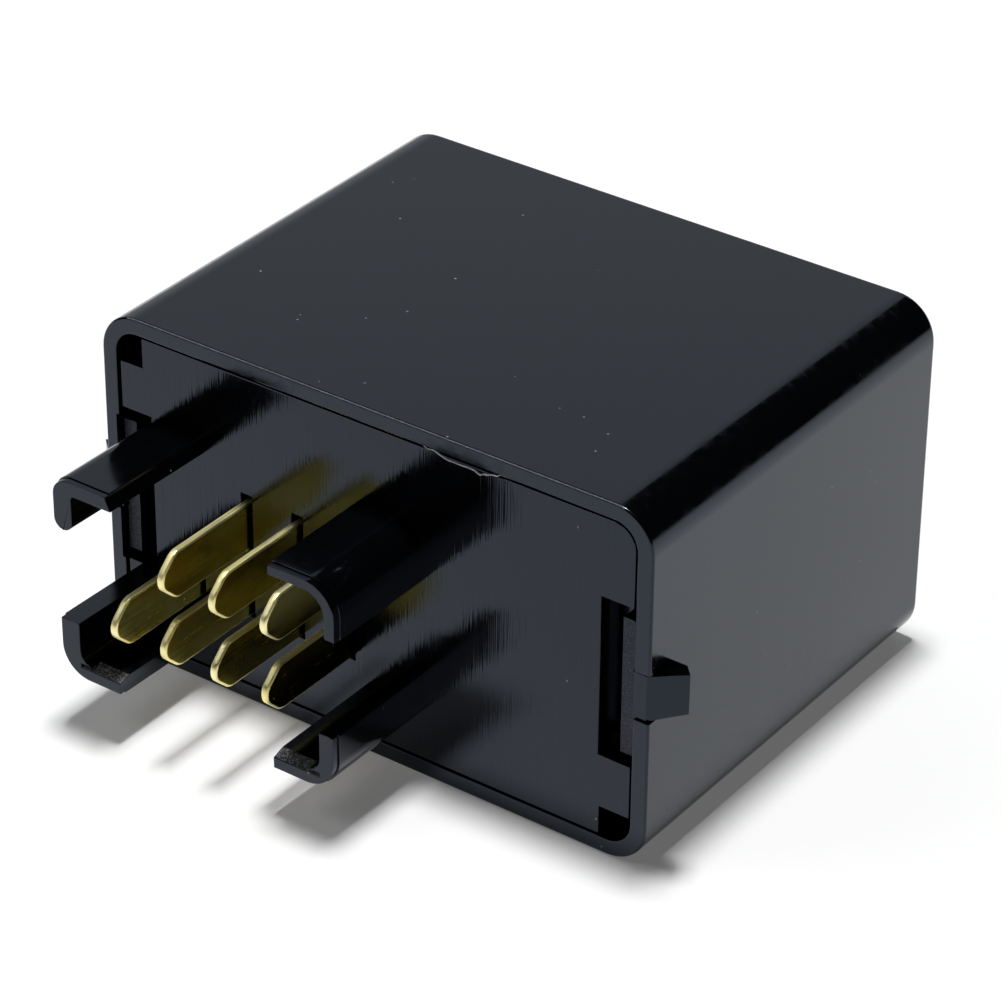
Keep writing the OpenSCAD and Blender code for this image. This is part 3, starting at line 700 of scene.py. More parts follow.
@dataclass(frozen=True)
class PunchedBrass:
    """Rolled and punched brass with a tarnished film, fine scratches and a few pale specks.

    Args:
        name: The material's name.
        bright: The clean metal's colour.
        tarnished: The colour of the thicker film.
        rough: Its least roughness.
        worn: How many times rougher it is in the scratches.
    """

    name: str
    bright: Colour = (0.96, 0.80, 0.21)
    tarnished: Colour = (0.76, 0.56, 0.05)
    rough: float = 0.14
    worn: float = 1.6
    film: Pattern = Pattern(330, 4, 0.6)
    filmed: Pair = (0.35, 0.68)
    film_rough: float = 0.08
    scratches: Pattern = Pattern(5200, 2, 0.6, (1, 0.03, 1))
    scratched: Pair = (0.3, 0.7)
    scratch_depth: float = 0.002
    pale: Specks = Specks(700, (0.04, 0.07), Pattern(400, 1, 0.5), (0.52, 0.56))
    pale_light: float = 0.8
    pale_tint: Colour = (0.9, 0.9, 0.86)
    pale_rough: float = 0.5

    def material(self) -> bpy.types.Material:
        """Returns the finish as a material."""
        s = Shader(self.name)
        film = s.ramp(s.noise(self.film), self.filmed)
        lines = s.noise(self.scratches)
        speck = s.specks(self.pale, self.pale_light)
        s.give("Base Color", s.blend(speck, s.blend(film, self.bright, self.tarnished), self.pale_tint))
        rough = s.ramp(lines, self.scratched, (self.rough, self.rough * self.worn))
        rough = s.maths("ADD", rough, s.product(film, self.film_rough))
        s.give("Roughness", s.maths("ADD", rough, s.product(speck, self.pale_rough)))
        s.give("Metallic", 1.0)
        s.bump(lines, self.scratch_depth)
        return s.material


@dataclass(frozen=True)
class PlainMetal:
    """A metal with rolled lines and a faint uneven film.

    Args:
        name: The material's name.
        tint: Its colour.
        film: The colour of its uneven film.
        rough: Its roughness.
        spread: The least and the greatest share of that roughness.
    """

    name: str
    tint: Colour
    film: Colour
    rough: float
    spread: Pair = (0.8, 1.25)
    clouds: Pattern = Pattern(420, 3, 0.6)
    clouded: Pair = (0.35, 0.7)
    lines: Pattern = Pattern(4200, 2, 0.6, (1.0, 0.05, 1.0))
    lined: Pair = (0.3, 0.7)
    line_depth: float = 0.004

    def material(self) -> bpy.types.Material:
        """Returns the finish as a material."""
        s = Shader(self.name)
        rolled = s.noise(self.lines)
        cloud = s.ramp(s.noise(self.clouds), self.clouded)
        s.give("Base Color", s.blend(cloud, self.tint, self.film))
        low, high = (self.rough * share for share in self.spread)
        s.give("Roughness", s.ramp(rolled, self.lined, (low, high)))
        s.give("Metallic", 1.0)
        s.bump(rolled, self.line_depth)
        return s.material


@dataclass(frozen=True)
class WoundWire:
    """Enamelled copper wire, wound in turns along Y.

    Args:
        name: The material's name.
        pitch: The distance between two turns.
        tint: The enamel's colour.
        light: The colour of its lighter patches.
        rough: Its roughness between the turns and on top of them.
    """

    WAVE_ANGLE = 20  # how many radians a wave of scale 1 turns in a metre

    name: str
    pitch: float = 0.69115
    tint: Colour = (0.42, 0.13, 0.045)
    light: Colour = (0.60, 0.22, 0.08)
    rough: Pair = (0.42, 0.24)
    patches: Pattern = Pattern(600)
    distortion: float = 0.4
    distortion_scale: float = 40
    metallic: float = 0.85
    enamel: float = 0.4
    depth: float = 0.06

    def material(self) -> bpy.types.Material:
        """Returns the finish as a material."""
        s = Shader(self.name)
        wave = s.add("TexWave", {
            "Scale": 2 * math.pi / (self.WAVE_ANGLE * self.pitch * MM), "Distortion": self.distortion,
            "Detail Scale": self.distortion_scale, "Vector": s.place,
        }, wave_type="BANDS", bands_direction="Y", wave_profile="SIN")
        turns = wave.outputs["Fac"]
        s.give("Base Color", s.blend(s.noise(self.patches), self.tint, self.light))
        s.give("Roughness", s.ramp(turns, (0, 1), self.rough))
        s.give("Metallic", self.metallic)
        s.give("Coat Weight", self.enamel)
        s.bump(turns, self.depth)
        return s.material


@dataclass(frozen=True)
class MottledPaint:
    """A painted, printed or moulded surface with a soft mottle and a fine grain.

    Args:
        name: The material's name.
        tint: Its main colour.
        shade: The colour of its darker patches.
        rough: Its roughness.
        coat: The weight of a clear coat.
        mottle: The pattern of its patches.
        finer: How many times finer than those the roughness and the grain are.
        spread: The least and the greatest share of the roughness.
        grain: The depth of its grain.
    """

    name: str
    tint: Colour
    shade: Colour
    rough: float
    coat: float = 0.0
    mottle: Pattern = Pattern(350, 4, 0.6)
    finer: Pair = (3, 12)
    mottled: Pair = (0.35, 0.7)
    roughened: Pair = (0.3, 0.7)
    spread: Pair = (0.85, 1.15)
    grain: float = 0.01

    def material(self) -> bpy.types.Material:
        """Returns the finish as a material."""
        s = Shader(self.name)
        patches, grain = (s.noise(Pattern(self.mottle.scale * finer)) for finer in self.finer)
        s.give("Base Color", s.blend(s.ramp(s.noise(self.mottle), self.mottled), self.tint, self.shade))
        low, high = (self.rough * share for share in self.spread)
        s.give("Roughness", s.ramp(patches, self.roughened, (low, high)))
        s.give("Coat Weight", self.coat)
        s.bump(grain, self.grain)
        return s.material


@dataclass
class Cover:
    """The moulded cover: a box with rounded long edges, open at the blades' side.

    Its rim has a notch in each side for a latch nose, and inside there are shallow reliefs beside the
    snap fingers and four guide rails.
    """

    width: float = 60.0
    height: float = 36.2
    depth: float = 45.5
    wall: float = 1.64
    edge_radius: float = 4.1
    edge_steps: int = 12
    back_radius: float = 0.6
    back_steps: int = 4
    rim_rounds: Pair = (0.24, 0.14)
    rim_steps: tuple[int, int] = (3, 2)
    rim_match: float = 0.05
    notch_depth: float = 3.9
    notch_low: float = 15.4
    notch_high: float = 20.35
    notch_round: float = 0.95
    notch_steps: int = 5
    reliefs: Pair = (0.35, 0.05)
    relief_low: float = 10.1
    relief_high: float = 25.5
    rail_width: float = 1.5
    rail_height: float = 0.9
    rail_from: float = 2.3
    rail_length: float = 30.0
    burr_height: float = 0.06
    burr_depth: float = 0.1
    burr_width: float = 0.065
    burr_zone: Pair = (0.9, 0.03)
    burr: tuple[Pair, ...] = (
        (6.2, 34.70), (6.6, 34.52), (7.0, 34.60), (7.4, 34.57), (7.9, 34.35), (8.4, 34.22), (8.8, 34.14),
        (9.4, 34.17), (10.2, 34.13), (10.9, 34.18), (11.6, 34.14), (11.9, 33.98), (12.2, 33.90),
        (12.5, 34.12), (12.9, 34.16), (13.4, 34.38), (14.0, 34.46), (14.3, 34.70),
    )
    # the slopes between which the upper rim's outer edge takes the painted highlight
    painted_rim_highlight_slope: Pair = (0.5, 0.85)
    softening: tuple[float, int, float] = (0.07, 2, 50)
    smooth_under: float = 32
    finish: MouldedPlastic = MouldedPlastic("cover_plastic", gloss=0.085, haze=0.11, dust=0.6)
    # a lighter strip along the upper rim's outer edge: a painted highlight
    painted_rim_highlight: TrimmedPlastic = TrimmedPlastic("cover_painted_rim_highlight", (0.1, 0.104, 0.115), (0.2, 0.21, 0.23))
    torn: TrimmedPlastic = TrimmedPlastic("cover_torn_edge", (0.6, 0.61, 0.63), (0.75, 0.76, 0.78))

    def rim_gap(self, at: Vector) -> float:
        """Returns how far inside the cover's outline a place is."""
        side, half = self.width / 2, self.height / 2
        across, up = abs(at.x), abs(at.z - half)
        dx, dz = across - (side - self.edge_radius), up - (half - self.edge_radius)
        if dx > 0 and dz > 0:
            return self.edge_radius - math.hypot(dx, dz)
        return min(side - across, half - up)

    def shell(self) -> Bench:
        """Returns the cover's shell, from a box that is rounded, hollowed and notched."""
        front, back, side = -self.depth / 2, self.depth / 2, self.width / 2
        shell = Bench.box("cover_shell", (-side, front, 0), (side, back, self.height))
        shell.pick(Element.EDGE, runs_deep)
        shell.bevel(self.edge_radius, self.edge_steps)
        shell.pick(Element.FACE, faces_front)
        shell.inset(self.wall)
        shell.extrude((0, self.depth - self.wall, 0))
        shell.pick(Element.EDGE, lambda at, way: at.y > back - NEAR)
        shell.bevel(self.back_radius, self.back_steps)
        for gap, width, strips in zip((0.0, self.wall), self.rim_rounds, self.rim_steps):
            shell.pick(Element.EDGE, lambda at, way: at.y < front + NEAR and abs(way.y) < ACROSS
                       and abs(self.rim_gap(at) - gap) < self.rim_match)
            shell.bevel(width, strips)
        cutters = []
        inner = side - self.wall
        for mirror, relief in zip((-1, 1), self.reliefs):
            near, far = sorted((mirror * (inner - PAST), mirror * (side + PAST)))
            notch = Bench.box("notch", (near, front - PAST, self.notch_low),
                              (far, front + self.notch_depth, self.notch_high))
            notch.pick(Element.EDGE, lambda at, way: abs(way.x) > ALONG and at.y > front)
            notch.bevel(self.notch_round, self.notch_steps)
            near, far = sorted((mirror * (inner - PAST), mirror * (inner + relief)))
            cutters += [notch, Bench.box("relief", (near, front - PAST, self.relief_low),
                                         (far, front + self.notch_depth, self.relief_high))]
        return shell.boolean("DIFFERENCE", cutters)

    def rails(self) -> list[Bench]:
        """Returns the guide rails inside the cover."""
        start = self.rail_from - self.depth / 2
        floor, ceiling = self.wall, self.height - self.wall
        made = []
        for mirror in (-1, 1):
            middle = mirror * (self.width / 2 - self.wall - 2 * self.edge_radius)
            for low, high in ((floor - SINK, floor + self.rail_height),
                              (ceiling - self.rail_height, ceiling + SINK)):
                made.append(Bench.box("rail", (middle - self.rail_width / 2, start, low),
                                      (middle + self.rail_width / 2, start + self.rail_length, high)))
        return made

    def burr_edge(self) -> Bench:
        """Returns the thin burr that hangs from the upper rim's inner edge."""
        front = -self.depth / 2 - self.burr_height
        above = [(x, front, z + self.burr_width / 2) for x, z in self.burr]
        below = [(x, front, z - self.burr_width / 2) for x, z in reversed(self.burr)]
        return Bench.outline("burr", above + below, (0, self.burr_height + self.burr_depth, 0))

    def on_painted_rim_highlight(self, at: Vector, normal: Vector) -> bool:
        """Says whether a face is on the upper rim's outer edge, which gets a lighter strip as a painted
        highlight.
        """
        least, most = self.painted_rim_highlight_slope
        width = self.rim_rounds[0]
        return at.z > self.height - width and at.y < width - self.depth / 2 and least < normal.z < most

    def on_burr(self, at: Vector, normal: Vector) -> bool:
        """Says whether a face belongs to the burr."""
        front, rim = -self.depth / 2, self.height - self.wall
        low, high = (rim - drop for drop in self.burr_zone)
        hangs = low < at.z < high and self.burr[0][0] < at.x < self.burr[-1][0]
        return at.y < front - HAIR or (hangs and at.y < front + self.burr_depth + NEAR)

    def near_notch(self, at: Vector) -> bool:
        """Says whether a place is as high as the notches."""
        return self.notch_low - PAST < at.z < self.notch_high + PAST

    def build(self) -> list[bpy.types.Object]:
        """Builds and dresses the cover.

        Returns:
            The new pieces.
        """
        shell = self.shell().boolean("UNION", [*self.rails(), self.burr_edge()]).tidy()
        shell.round_edges(*self.softening, self.near_notch).smooth(self.smooth_under)
        shell.coat(self.finish.material())
        # paints a highlight along the upper rim's outer edge with a lighter strip
        shell.coat(self.painted_rim_highlight.material(), self.on_painted_rim_highlight)
        shell.coat(self.torn.material(), self.on_burr)
        piece = shell.obj
        piece.name = "cover"
        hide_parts("case")
        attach(piece, HOUSING)
        return [piece]


@dataclass
class BaseMoulding:
    """The glossy base moulding: the plate, four guide prongs, two snap fingers, and the board's posts.

    The prongs, their walls and their corner radii are counted clockwise from the upper left one, and the
    leans of their tips in rows: upper left, upper right, lower left, lower right.
    """

    front: float = -22.55
    back: float = -20.45
    half_width: float = 28.08
    low: float = 1.75
    high: float = 34.24
    corner: float = 2.18
    corner_steps: int = 8
    upper_notch: Pair = (-25.5, 31.2)
    lower_notch: Pair = (24.95, 4.65)
    slot_inner: float = 24.7
    slot_low: float = 10.1
    slot_high: float = 26.4
    blade_slot: tuple[Pair, Pair] = ((-0.52, -2.55), (0.75, 3.2))
    shroud_left: float = -25.75
    shroud_right: float = 5.85
    shroud_low: float = 4.9
    shroud_high: float = 26.05
    prong_tip: float = -34.95
    prong_walls: tuple[Pair, ...] = ((2.25, 1.5), (1.25, 1.1), (1.7, 1.7), (2.25, 1.7))
    corner_radii: tuple[float, ...] = (1.9, 3.3, 3.2, 3.2)
    least_radius: float = 0.25
    radius_steps: int = 12
    ledge: float = 0.16
    ledge_depth: float = 0.7
    lead_depth: float = 1.35
    lead_drop: float = 0.5
    lead_lap: float = 0.02
    lead_slope: Pair = (0.85, -0.2)
    leg_end_round: float = 1.08
    leg_end_steps: int = 6
    leg_x: float = 6.85
    leg_x_long: float = 7.3
    leans: tuple[Pair, ...] = ((-0.2, 0.0), (0.0, 0.0), (0.0, 0.25), (-0.3, -0.3))
    leg_z_low: float = 5.95
    leg_z_high: float = 5.4
    slant: float = 0.55
    slant_drop: float = 0.35
    finger_thick: float = 1.5
    finger_low: float = 10.85
    finger_high: float = 24.75
    finger_front: float = -21.95
    left_finger_spread: float = 0.4
    bend_y: float = -17.4
    bend_x: float = 25.65
    bend_turn: float = 180
    bend_steps: int = 16
    nose_low: float = 15.45
    nose_high: float = 20.1
    nose_rise: float = 0.2
    nose_plan: tuple[Pair, ...] = (
        (27.9, -21.95), (28.1, -22.5), (29.5, -22.5), (30.3, -21.85), (31.1, -21.1),
        (32.35, -20.05), (31.35, -19.0), (27.0, -19.0),
    )
    post_x: float = 24.16
    post_z: Pair = (6.24, 29.96)
    post_radius: float = 1.7
    post_sides: int = 40
    peg_radius: float = 0.9
    board_front: float = -13.75
    board_back: float = -12.15
    rib_thick: float = 1.2
    rib_depth: float = 3.0
    softening: tuple[float, int, float] = (0.07, 3, 42)
    smooth_under: float = 23.5
    finish: MouldedPlastic = MouldedPlastic(
        "base_plastic", gloss=0.09, haze=0.05, density=1.46, lines=0.009, dust=0.75
    )
    trimmed: TrimmedPlastic = TrimmedPlastic("base_trimmed_plastic")
    # the lower prongs' lead-ins: pale scrapes, made lighter as painted light where the prong above shades
    # them
    scrapes_and_painted_light: TrimmedPlastic = TrimmedPlastic("base_lead_scrapes_and_painted_light", (0.04, 0.041, 0.046), (0.5, 0.51, 0.54))

    def __post_init__(self) -> None:
        """Works out where the middle of the prongs is."""
        self.middle_x = (self.shroud_left + self.shroud_right) / 2
        self.middle_z = (self.shroud_low + self.shroud_high) / 2

    def plate(self) -> Bench:
        """Returns the plate with its notches, finger slots and blade slots."""
        half = self.half_width
        plate = Bench.box("plate", (-half, self.front, self.low), (half, self.back, self.high))
        plate.pick(Element.EDGE, runs_deep)
        plate.bevel(self.corner, self.corner_steps)
        cuts = [
            ((-FAR, self.upper_notch[1]), (self.upper_notch[0], FAR)),
            ((self.lower_notch[0], UNDER), (FAR, self.lower_notch[1])),
            ((self.slot_inner, self.slot_low), (FAR, self.slot_high)),
            ((-FAR, self.slot_low), (-self.slot_inner, self.slot_high)),
        ]
        (left, under), (right, over) = self.blade_slot
        cuts += [((x + left, z + under), (x + right, z + over)) for x, z in Blades().places()]
        y0, y1 = self.front - PAST, self.back + PAST
        first, *others = (Bench.box("cut", (x0, y0, z0), (x1, y1, z1)) for (x0, z0), (x1, z1) in cuts)
        return plate.boolean("DIFFERENCE", [first.joined(others)])

    def shroud(self) -> Bench:
        """Returns the outer form of the four prongs together, with a small ledge round the tips."""
        left, right, low, high = self.shroud_left, self.shroud_right, self.shroud_low, self.shroud_high
        corners = ((left, high), (right, high), (right, low), (left, low))
        body = Bench.box("prongs", (left, self.prong_tip + self.ledge_depth, low),
                         (right, self.front + ROOT, high))
        for corner, radius in zip(corners, self.corner_radii):
            body.pick(Element.EDGE, deep_at(*corner))
            body.bevel(radius, self.radius_steps)
        body.pick(Element.FACE, faces_front)
        body.inset(self.ledge)
        body.extrude((0, -self.ledge_depth, 0))
        return body.done()

    def bore(self, number: int) -> Bench:
        """Returns what is cut out inside one prong, to a little past the shroud's middle.

        Args:
            number: The prong.
        """
        side_wall, flat_wall = self.prong_walls[number]
        on_left, above = number in (0, 3), number < 2
        x = self.shroud_left + side_wall if on_left else self.shroud_right - side_wall
        z = self.shroud_high - flat_wall if above else self.shroud_low + flat_wall
        x0, x1 = sorted((x, self.middle_x + (PAST if on_left else -PAST)))
        z0, z1 = sorted((z, self.middle_z + (-PAST if above else PAST)))
        bore = Bench.box("bore", (x0, self.prong_tip - PAST, z0), (x1, self.front + PAST, z1))
        bore.pick(Element.EDGE, deep_at(x, z))
        radius = self.corner_radii[number] - min(side_wall, flat_wall)
        bore.bevel(max(radius, self.least_radius), self.radius_steps)
        return bore.done()

    def lean(self, prongs: Bench) -> None:
        """Leans each prong's tip a little aside, as the moulding has warped.

        Args:
            prongs: The four prongs.
        """
        for vertex in prongs.done().obj.data.vertices:
            x, y, z = vertex.co / MM
            share = max(0.0, (self.front - y) / (self.front - self.prong_tip))
            dx, dz = self.leans[2 * (z < self.middle_z) + (x > self.middle_x)]
            vertex.co += Vector((dx, 0, dz)) * share * MM

    def prongs(self) -> Bench:
        """Returns the four guide prongs, from a tube whose middle stretches are cut away."""
        left, right, low, high = self.shroud_left, self.shroud_right, self.shroud_low, self.shroud_high
        tip = self.prong_tip
        tube = self.shroud()
        y0, y1 = tip - PAST, self.front + PAST
        under, over = low + self.leg_z_low, high - self.leg_z_high
        slant_x = left + self.leg_x - self.slant
        (wall_right, floor_wall), (wall_left, _) = self.prong_walls[2:]
        floor = low + floor_wall
        ramp = Bench.outline("lead", [
            (left + wall_left, tip - SINK, floor - self.lead_drop),
            (left + wall_left, tip + self.lead_depth, floor + self.lead_lap),
            (left + wall_left, tip - SINK, floor + self.lead_lap),
        ], (right - wall_right - left - wall_left, 0, 0))
        cutters = [
            *(self.bore(number) for number in range(len(self.prong_walls))),
            ramp,
            Bench.box("cut", (left - PAST, y0, under), (right + PAST, y1, over)),
            Bench.box("cut", (left + self.leg_x, y0, low - PAST), (right - self.leg_x, y1, under + PAST)),
            Bench.outline("cut", [
                (left + self.leg_x, y0, under), (right - self.leg_x_long, y0, under),
                (right - self.leg_x_long, y0, high + PAST), (slant_x, y0, high + PAST),
                (slant_x, y0, high - self.slant_drop), (left + self.leg_x, y0, high - self.prong_walls[0][1]),
            ], (0, y1 - y0, 0)),
        ]
        tube.boolean("DIFFERENCE", cutters)
        end_x = left + self.prong_walls[0][0] + SLACK
        tube.pick(Element.EDGE, lambda at, way: runs_deep(at, way) and abs(at.z - over) < NEAR
                  and at.x < end_x and at.y > tip + SINK)
        tube.bevel(self.leg_end_round, self.leg_end_steps)
        self.lean(tube)
        return tube

    def finger(self) -> Bench:
        """Returns the right snap finger: a leg from the plate, a bend and the free end with its nose."""
        inner = self.slot_inner
        leg = Bench.box("finger", (inner - self.finger_thick, self.front + ROOT, self.finger_low),
                        (inner, self.bend_y, self.finger_high))
        leg.pick(Element.FACE, lambda at, normal: normal.y > ALONG)
        leg.spin((self.bend_x, self.bend_y, 0), (0, 0, -1), self.bend_turn, self.bend_steps)
        leg.extrude((0, self.finger_front - self.bend_y, 0))
        leg.face_outwards()
        nose = Bench.outline("nose", [(x, y, self.nose_low) for x, y in self.nose_plan],
                             (0, 0, self.nose_high - self.nose_low))
        root_x, tip_x = self.nose_plan[2][0], self.nose_plan[5][0]
        nose.slice((root_x, 0, self.nose_low), (self.nose_rise, 0, root_x - tip_x))
        return leg.boolean("UNION", [nose])

    def left_finger(self, right: Bench) -> Bench:
        """Returns the left snap finger, whose free end stands a little further out than the right one's.

        Args:
            right: The right finger.
        """
        finger = right.mirrored("left_finger")
        for vertex in finger.obj.data.vertices:
            x, y, _ = vertex.co / MM
            if x < -self.bend_x:
                share = max(0.0, (self.bend_y - y) / (self.bend_y - self.finger_front))
                vertex.co.x -= self.left_finger_spread * share * MM
        return finger

    def on_front(self, at: Vector, normal: Vector) -> bool:
        """Says whether a face is a snap finger's front, which was trimmed."""
        on_end = abs(at.y - self.finger_front) < 2 * NEAR and abs(at.x) > self.bend_x
        return on_end and faces_front(at, normal)

    def on_lead(self, at: Vector, normal: Vector) -> bool:
        """Says whether a face is on a lower prong's lead-in, whose pale scrapes are made lighter as painted
        light, for the shade that the prong above casts there.
        """
        near_tip = at.y < self.prong_tip + 2 * self.lead_depth and at.z < self.shroud_low + self.leg_z_low
        return near_tip and normal.z > self.lead_slope[0] and normal.y < self.lead_slope[1]

    def posts(self) -> list[Bench]:
        """Returns the posts, pegs and ribs behind the plate."""
        made = []
        stretches = ((self.post_radius, self.back - SINK, self.board_front),
                     (self.peg_radius, self.board_front - SINK, self.board_back))
        for z in self.post_z:
            for x in (-self.post_x, self.post_x):
                for radius, start, end in stretches:
                    middle = (x, (start + end) / 2, z)
                    made.append(Bench.cylinder("post", middle, radius, end - start, self.post_sides))
            made.append(Bench.box("rib", (-self.post_x, self.back - SINK, z - self.rib_thick / 2),
                                  (self.post_x, self.back + self.rib_depth, z + self.rib_thick / 2)))
        return made

    def build(self) -> list[bpy.types.Object]:
        """Builds and dresses the base moulding.

        Returns:
            The new pieces.
        """
        moulding = self.plate()
        right = self.finger()
        moulding.boolean("UNION", [self.prongs(), self.left_finger(right), right, *self.posts()])
        moulding.tidy().round_edges(*self.softening).smooth(self.smooth_under)
        moulding.coat(self.finish.material())
        trimmed = moulding.coat(self.trimmed.material(), self.on_front)
        # pale scrapes on the lead-ins, made lighter as painted light where the prong above shades them
        scrapes_and_painted_light = moulding.coat(self.scrapes_and_painted_light.material(), self.on_lead)
        log.info("base moulding: %d trimmed and %d scraped faces", trimmed, scrapes_and_painted_light)
        piece = moulding.obj
        piece.name = "base_moulding"
        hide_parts("base_plate")
        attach(piece, HOUSING)
        return [piece]


@dataclass
class Blades:
    """The seven punched blades, modelled once and copied to their places."""

    first_x: float = -19.7
    pitch_x: float = 5.75
    rows: Pair = (11.75, 19.0)
    columns: tuple[tuple[int, ...], ...] = ((0, 1, 2, 3), (1, 2, 3))
    tip: float = -34.65
    root: float = -20.45
    width: float = 4.8
    thick: float = 0.8
    nose: float = 1.3
    taper: float = 1.85
    nose_round: float = 0.55
    nose_steps: int = 5
    coin: float = 0.2
    coin_drop: float = 0.14
    shoulder_low: float = -2.95
    shoulder_high: float = 3.6
    shoulder_end: float = -18.45
    tail_width: float = 2.0
    tail_end: float = -11.55
    softening: tuple[float, int, float] = (0.035, 2, 25)
    smooth_under: float = 50
    finish: PunchedBrass = PunchedBrass("blade_brass")
    # the punched edges: rougher cut metal, whose paler colour is partly a painted highlight
    cut_edge_and_highlight_finish: PunchedBrass = PunchedBrass("blade_brass_cut_edges_painted_highlight", (1.0, 0.93, 0.53), (0.97, 0.86, 0.37), 0.32)

    def places(self) -> list[Pair]:
        """Returns each blade's X and Z, in the order of the nodes."""
        return [
            (self.first_x + self.pitch_x * column, z)
            for z, columns in zip(self.rows, self.columns) for column in columns
        ]

    def blade(self) -> Bench:
        """Returns one blade at X and Z 0: a coined blank with a tapered nose, shoulders and a tail."""
        half, core, full = self.width / 2, self.thick / 2 - self.coin_drop, self.thick / 2
        nose_y = self.tip + self.taper
        blank = Bench.outline("blade", [
            (-core, self.tip, -self.nose / 2), (-core, nose_y, -half), (-core, self.root, -half),
            (-core, self.root, half), (-core, nose_y, half), (-core, self.tip, self.nose / 2),
        ], (2 * core, 0, 0))
        blank.pick(Element.EDGE, lambda at, way: abs(way.x) > ALONG and at.y < nose_y + SLACK)
        blank.bevel(self.nose_round, self.nose_steps)
        for mirror in (-1, 1):
            blank.pick(Element.FACE, lambda at, normal: normal.x * mirror > ALONG)
            blank.inset(self.coin)
            blank.move((mirror * self.coin_drop, 0, 0))
        shoulder = Bench.box("shoulder", (-full, self.root - ROOT, self.shoulder_low),
                             (full, self.shoulder_end, self.shoulder_high))
        tail = Bench.box("tail", (-full, self.shoulder_end - ROOT, -self.tail_width / 2),
                         (full, self.tail_end, self.tail_width / 2))
        return blank.boolean("UNION", [shoulder.boolean("UNION", [tail])])

    def build(self) -> list[bpy.types.Object]:
        """Builds and dresses the blades.

        Returns:
            The new pieces.
        """
        master = self.blade().tidy().round_edges(*self.softening).smooth(self.smooth_under)
        master.coat(self.finish.material())
        # the punched edges take a rougher finish whose paler colour partly paints their highlight
        master.coat(self.cut_edge_and_highlight_finish.material(), lambda at, normal: abs(normal.x) < ALONG)
        pieces = []
        for number, (x, z) in enumerate(self.places(), 1):
            blade = master.copied(f"blade_{number}").obj
            blade.data.transform(Matrix.Translation((x * MM, 0, z * MM)))
            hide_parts(f"terminal_{number}")
            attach(blade, HOUSING)
            pieces.append(blade)
        bpy.data.objects.remove(master.obj, do_unlink=True)
        return pieces


@dataclass(frozen=True)
class Lamp:
    """A soft panel that faces the object.

    Args:
        name: Its name.
        towards: The way from the object to it.
        distance: Its distance in metres.
        size: Its width and height in metres.
        radiance: The brightness of its face.
        colour: Its colour.
    """

    name: str
    towards: Point
    distance: float
    size: Pair
    radiance: float
    colour: Colour = (1, 1, 1)

    def add(self) -> None:
        """Adds the lamp to the scene."""
        data = bpy.data.lights.new(self.name, "AREA")
        data.shape = "RECTANGLE"
        data.size, data.size_y = self.size
        data.energy = self.radiance * math.pi * self.size[0] * self.size[1]
        data.color = self.colour
        lamp = bpy.data.objects.new(self.name, data)
        bpy.context.scene.collection.objects.link(lamp)
        way = Vector(self.towards).normalized()
        turn = way.to_track_quat("Z", "Y").to_matrix().to_4x4()
        lamp.matrix_world = Matrix.Translation(way * self.distance) @ turn


@dataclass
class Studio:
    """The floor, the soft lights, the dim room, and the camera, placed as for the photograph."""

    azimuth: float = 35.68
    elevation: float = 31.89
    roll: float = 0.49
    distance: float = 384.6
    target: Point = (-0.06, -2.75, 16.83)
    focal_pixels: float = 4192.7
    picture_width: int = 1001
    sensor: float = 36.0
    clip: Pair = (0.01, 50)
    floor_size: float = 30
    floor_drop: float = 0.1
    floor_white: float = 0.86
    floor_glow: float = 0.125
    room_colour: Colour = (0.9, 0.95, 1.0)
    room_light: float = 0.004
    lamps: tuple[Lamp, ...] = (
        Lamp("key", (-0.018, 0.035, 0.99), 0.9, (0.12, 0.12), 172),
        Lamp("fill", (-0.495, -0.45, 0.745), 1.0, (0.38, 0.38), 2.2),
        Lamp("backdrop", (-0.63, 0.69, 0.38), 1.6, (2.2, 1.25), 0.53, (0.90, 0.95, 1.0)),
    )

    def camera(self) -> None:
        """Adds the camera."""
        az, el, roll = (math.radians(v) for v in (self.azimuth, self.elevation, self.roll))
        back = Vector((math.sin(az) * math.cos(el), -math.cos(az) * math.cos(el), math.sin(el)))
        level = Vector((0, 0, 1)).cross(back).normalized()
        upright = back.cross(level)
        right = level * math.cos(roll) + upright * math.sin(roll)
        up = -level * math.sin(roll) + upright * math.cos(roll)
        data = bpy.data.cameras.new("camera")
        data.sensor_width = self.sensor
        data.lens = self.sensor * self.focal_pixels / self.picture_width
        data.clip_start, data.clip_end = self.clip
        camera = bpy.data.objects.new("camera", data)
        bpy.context.scene.collection.objects.link(camera)
        turn = Matrix((right, up, back)).transposed().to_4x4()
        camera.matrix_world = Matrix.Translation((Vector(self.target) + back * self.distance) * MM) @ turn
        bpy.context.scene.camera = camera

    def floor(self) -> None:
        """Adds the pale floor, which keeps the shadow and glows a little for the rays that see it."""
        Bench.clear()
        bpy.ops.mesh.primitive_plane_add(size=self.floor_size, location=(0, 0, -self.floor_drop * MM))
        floor = bpy.context.object
        floor.name = "floor"
        s = Shader("floor")
        path = s.add("LightPath").outputs
        seen = s.maths("MAXIMUM", path["Is Camera Ray"], path["Is Glossy Ray"])
        seen = s.maths("MAXIMUM", seen, path["Is Transmission Ray"])
        glow = s.add("Emission", {"Strength": s.product(seen, self.floor_glow)})
        white = s.add("BsdfDiffuse", {"Color": (self.floor_white,) * 3})
        both = s.add("AddShader", {0: white.outputs[0], 1: glow.outputs[0]})
        s.put(s.nodes["Material Output"].inputs["Surface"], both.outputs[0])
        s.nodes.remove(s.surface)
        floor.data.materials.append(s.material)

    def room(self) -> None:
        """Makes the surroundings a dim room."""
        world = bpy.data.worlds.new("room")
        bpy.context.scene.world = world
        world.use_nodes = True
        walls = world.node_tree.nodes["Background"]
        walls.inputs["Color"].default_value = (*self.room_colour, 1)
        walls.inputs["Strength"].default_value = self.room_light

    def build(self) -> None:
        """Sets up the floor, the lights, the room and the camera."""
        self.floor()
        for lamp in self.lamps:
            lamp.add()
        self.room()
        self.camera()
        bpy.context.scene.view_settings.view_transform = "Standard"


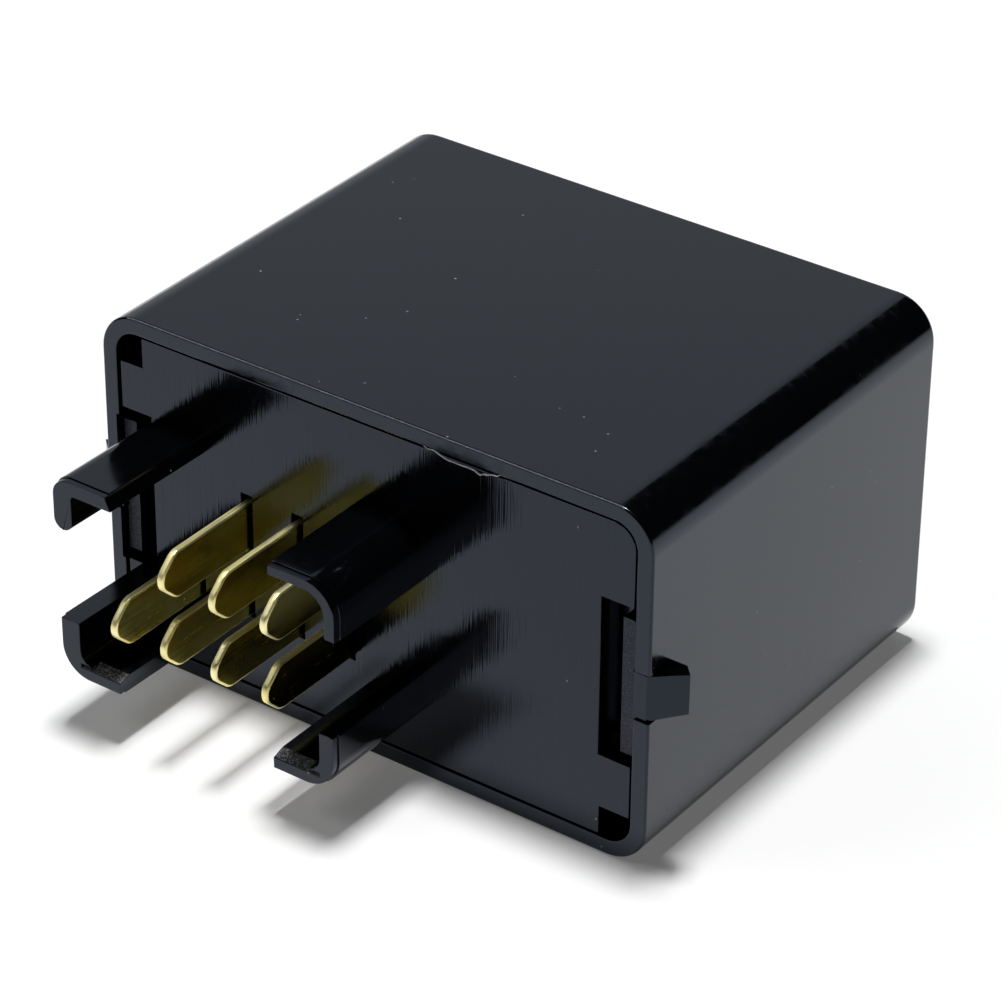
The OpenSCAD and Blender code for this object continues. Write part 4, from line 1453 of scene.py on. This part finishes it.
# What each kind of node is made of: words in its name, of which the first that fit count, and the finish.
NODE_FINISHES = (
    (("base_plate", "case"), MouldedPlastic("base_node_plastic")),
    (("terminal",), PunchedBrass("blade_brass")),
    (("circuit_board",), MottledPaint("board_laminate", (0.04, 0.14, 0.06), (0.03, 0.11, 0.05), 0.35, 0.3)),
    (("relay_base",), MottledPaint("relay_base_plastic", (0.03, 0.03, 0.033), (0.045, 0.045, 0.05), 0.5)),
    (("yoke", "core", "armature"), PlainMetal("relay_iron", (0.60, 0.58, 0.54), (0.50, 0.48, 0.45), 0.34)),
    (("bobbin",), MottledPaint("bobbin_nylon", (0.72, 0.70, 0.62), (0.66, 0.63, 0.54), 0.4)),
    (("coil_pins", "shunt"), PlainMetal("tinned_wire", (0.74, 0.73, 0.70), (0.62, 0.61, 0.58), 0.26)),
    (("coil",), WoundWire("coil_wire")),
    (("contact_spring", "contact_strip"),
     PlainMetal("spring_bronze", (0.80, 0.56, 0.30), (0.66, 0.44, 0.22), 0.28)),
    (("contact",), PlainMetal("contact_silver", (0.86, 0.86, 0.88), (0.72, 0.70, 0.66), 0.22)),
    (("chip", "transistor"), MottledPaint("chip_epoxy", (0.02, 0.02, 0.022), (0.03, 0.03, 0.032), 0.55)),
    (("capacitor",), MottledPaint("capacitor_sleeve", (0.02, 0.03, 0.07), (0.03, 0.04, 0.08), 0.3, 0.4)),
    (("resistor",), MottledPaint("resistor_body", (0.55, 0.42, 0.24), (0.48, 0.36, 0.20), 0.45)),
    (("diode",), MottledPaint("diode_body", (0.30, 0.07, 0.03), (0.22, 0.05, 0.02), 0.15, 0.8)),
)


def dress_nodes() -> None:
    """Gives every CAD node its finish."""
    made = [(words, finish.material()) for words, finish in NODE_FINISHES]
    for name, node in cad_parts.items():
        fitting = [material for words, material in made if any(word in name for word in words)]
        if fitting:
            node.data.materials.clear()
            node.data.materials.append(fitting[0])
        else:
            log.warning("no finish for %s", name)


def main() -> None:
    """Builds the sub-assemblies in order and reports each piece."""
    logging.basicConfig(level=logging.INFO, format="%(name)s: %(message)s")
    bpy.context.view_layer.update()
    dress_nodes()
    for part in (Cover(), BaseMoulding(), Blades()):
        for piece in part.build():
            log.info("%s: %d faces", piece.name, len(piece.data.polygons))
    Studio().build()


if __name__ == "__main__":
    main()
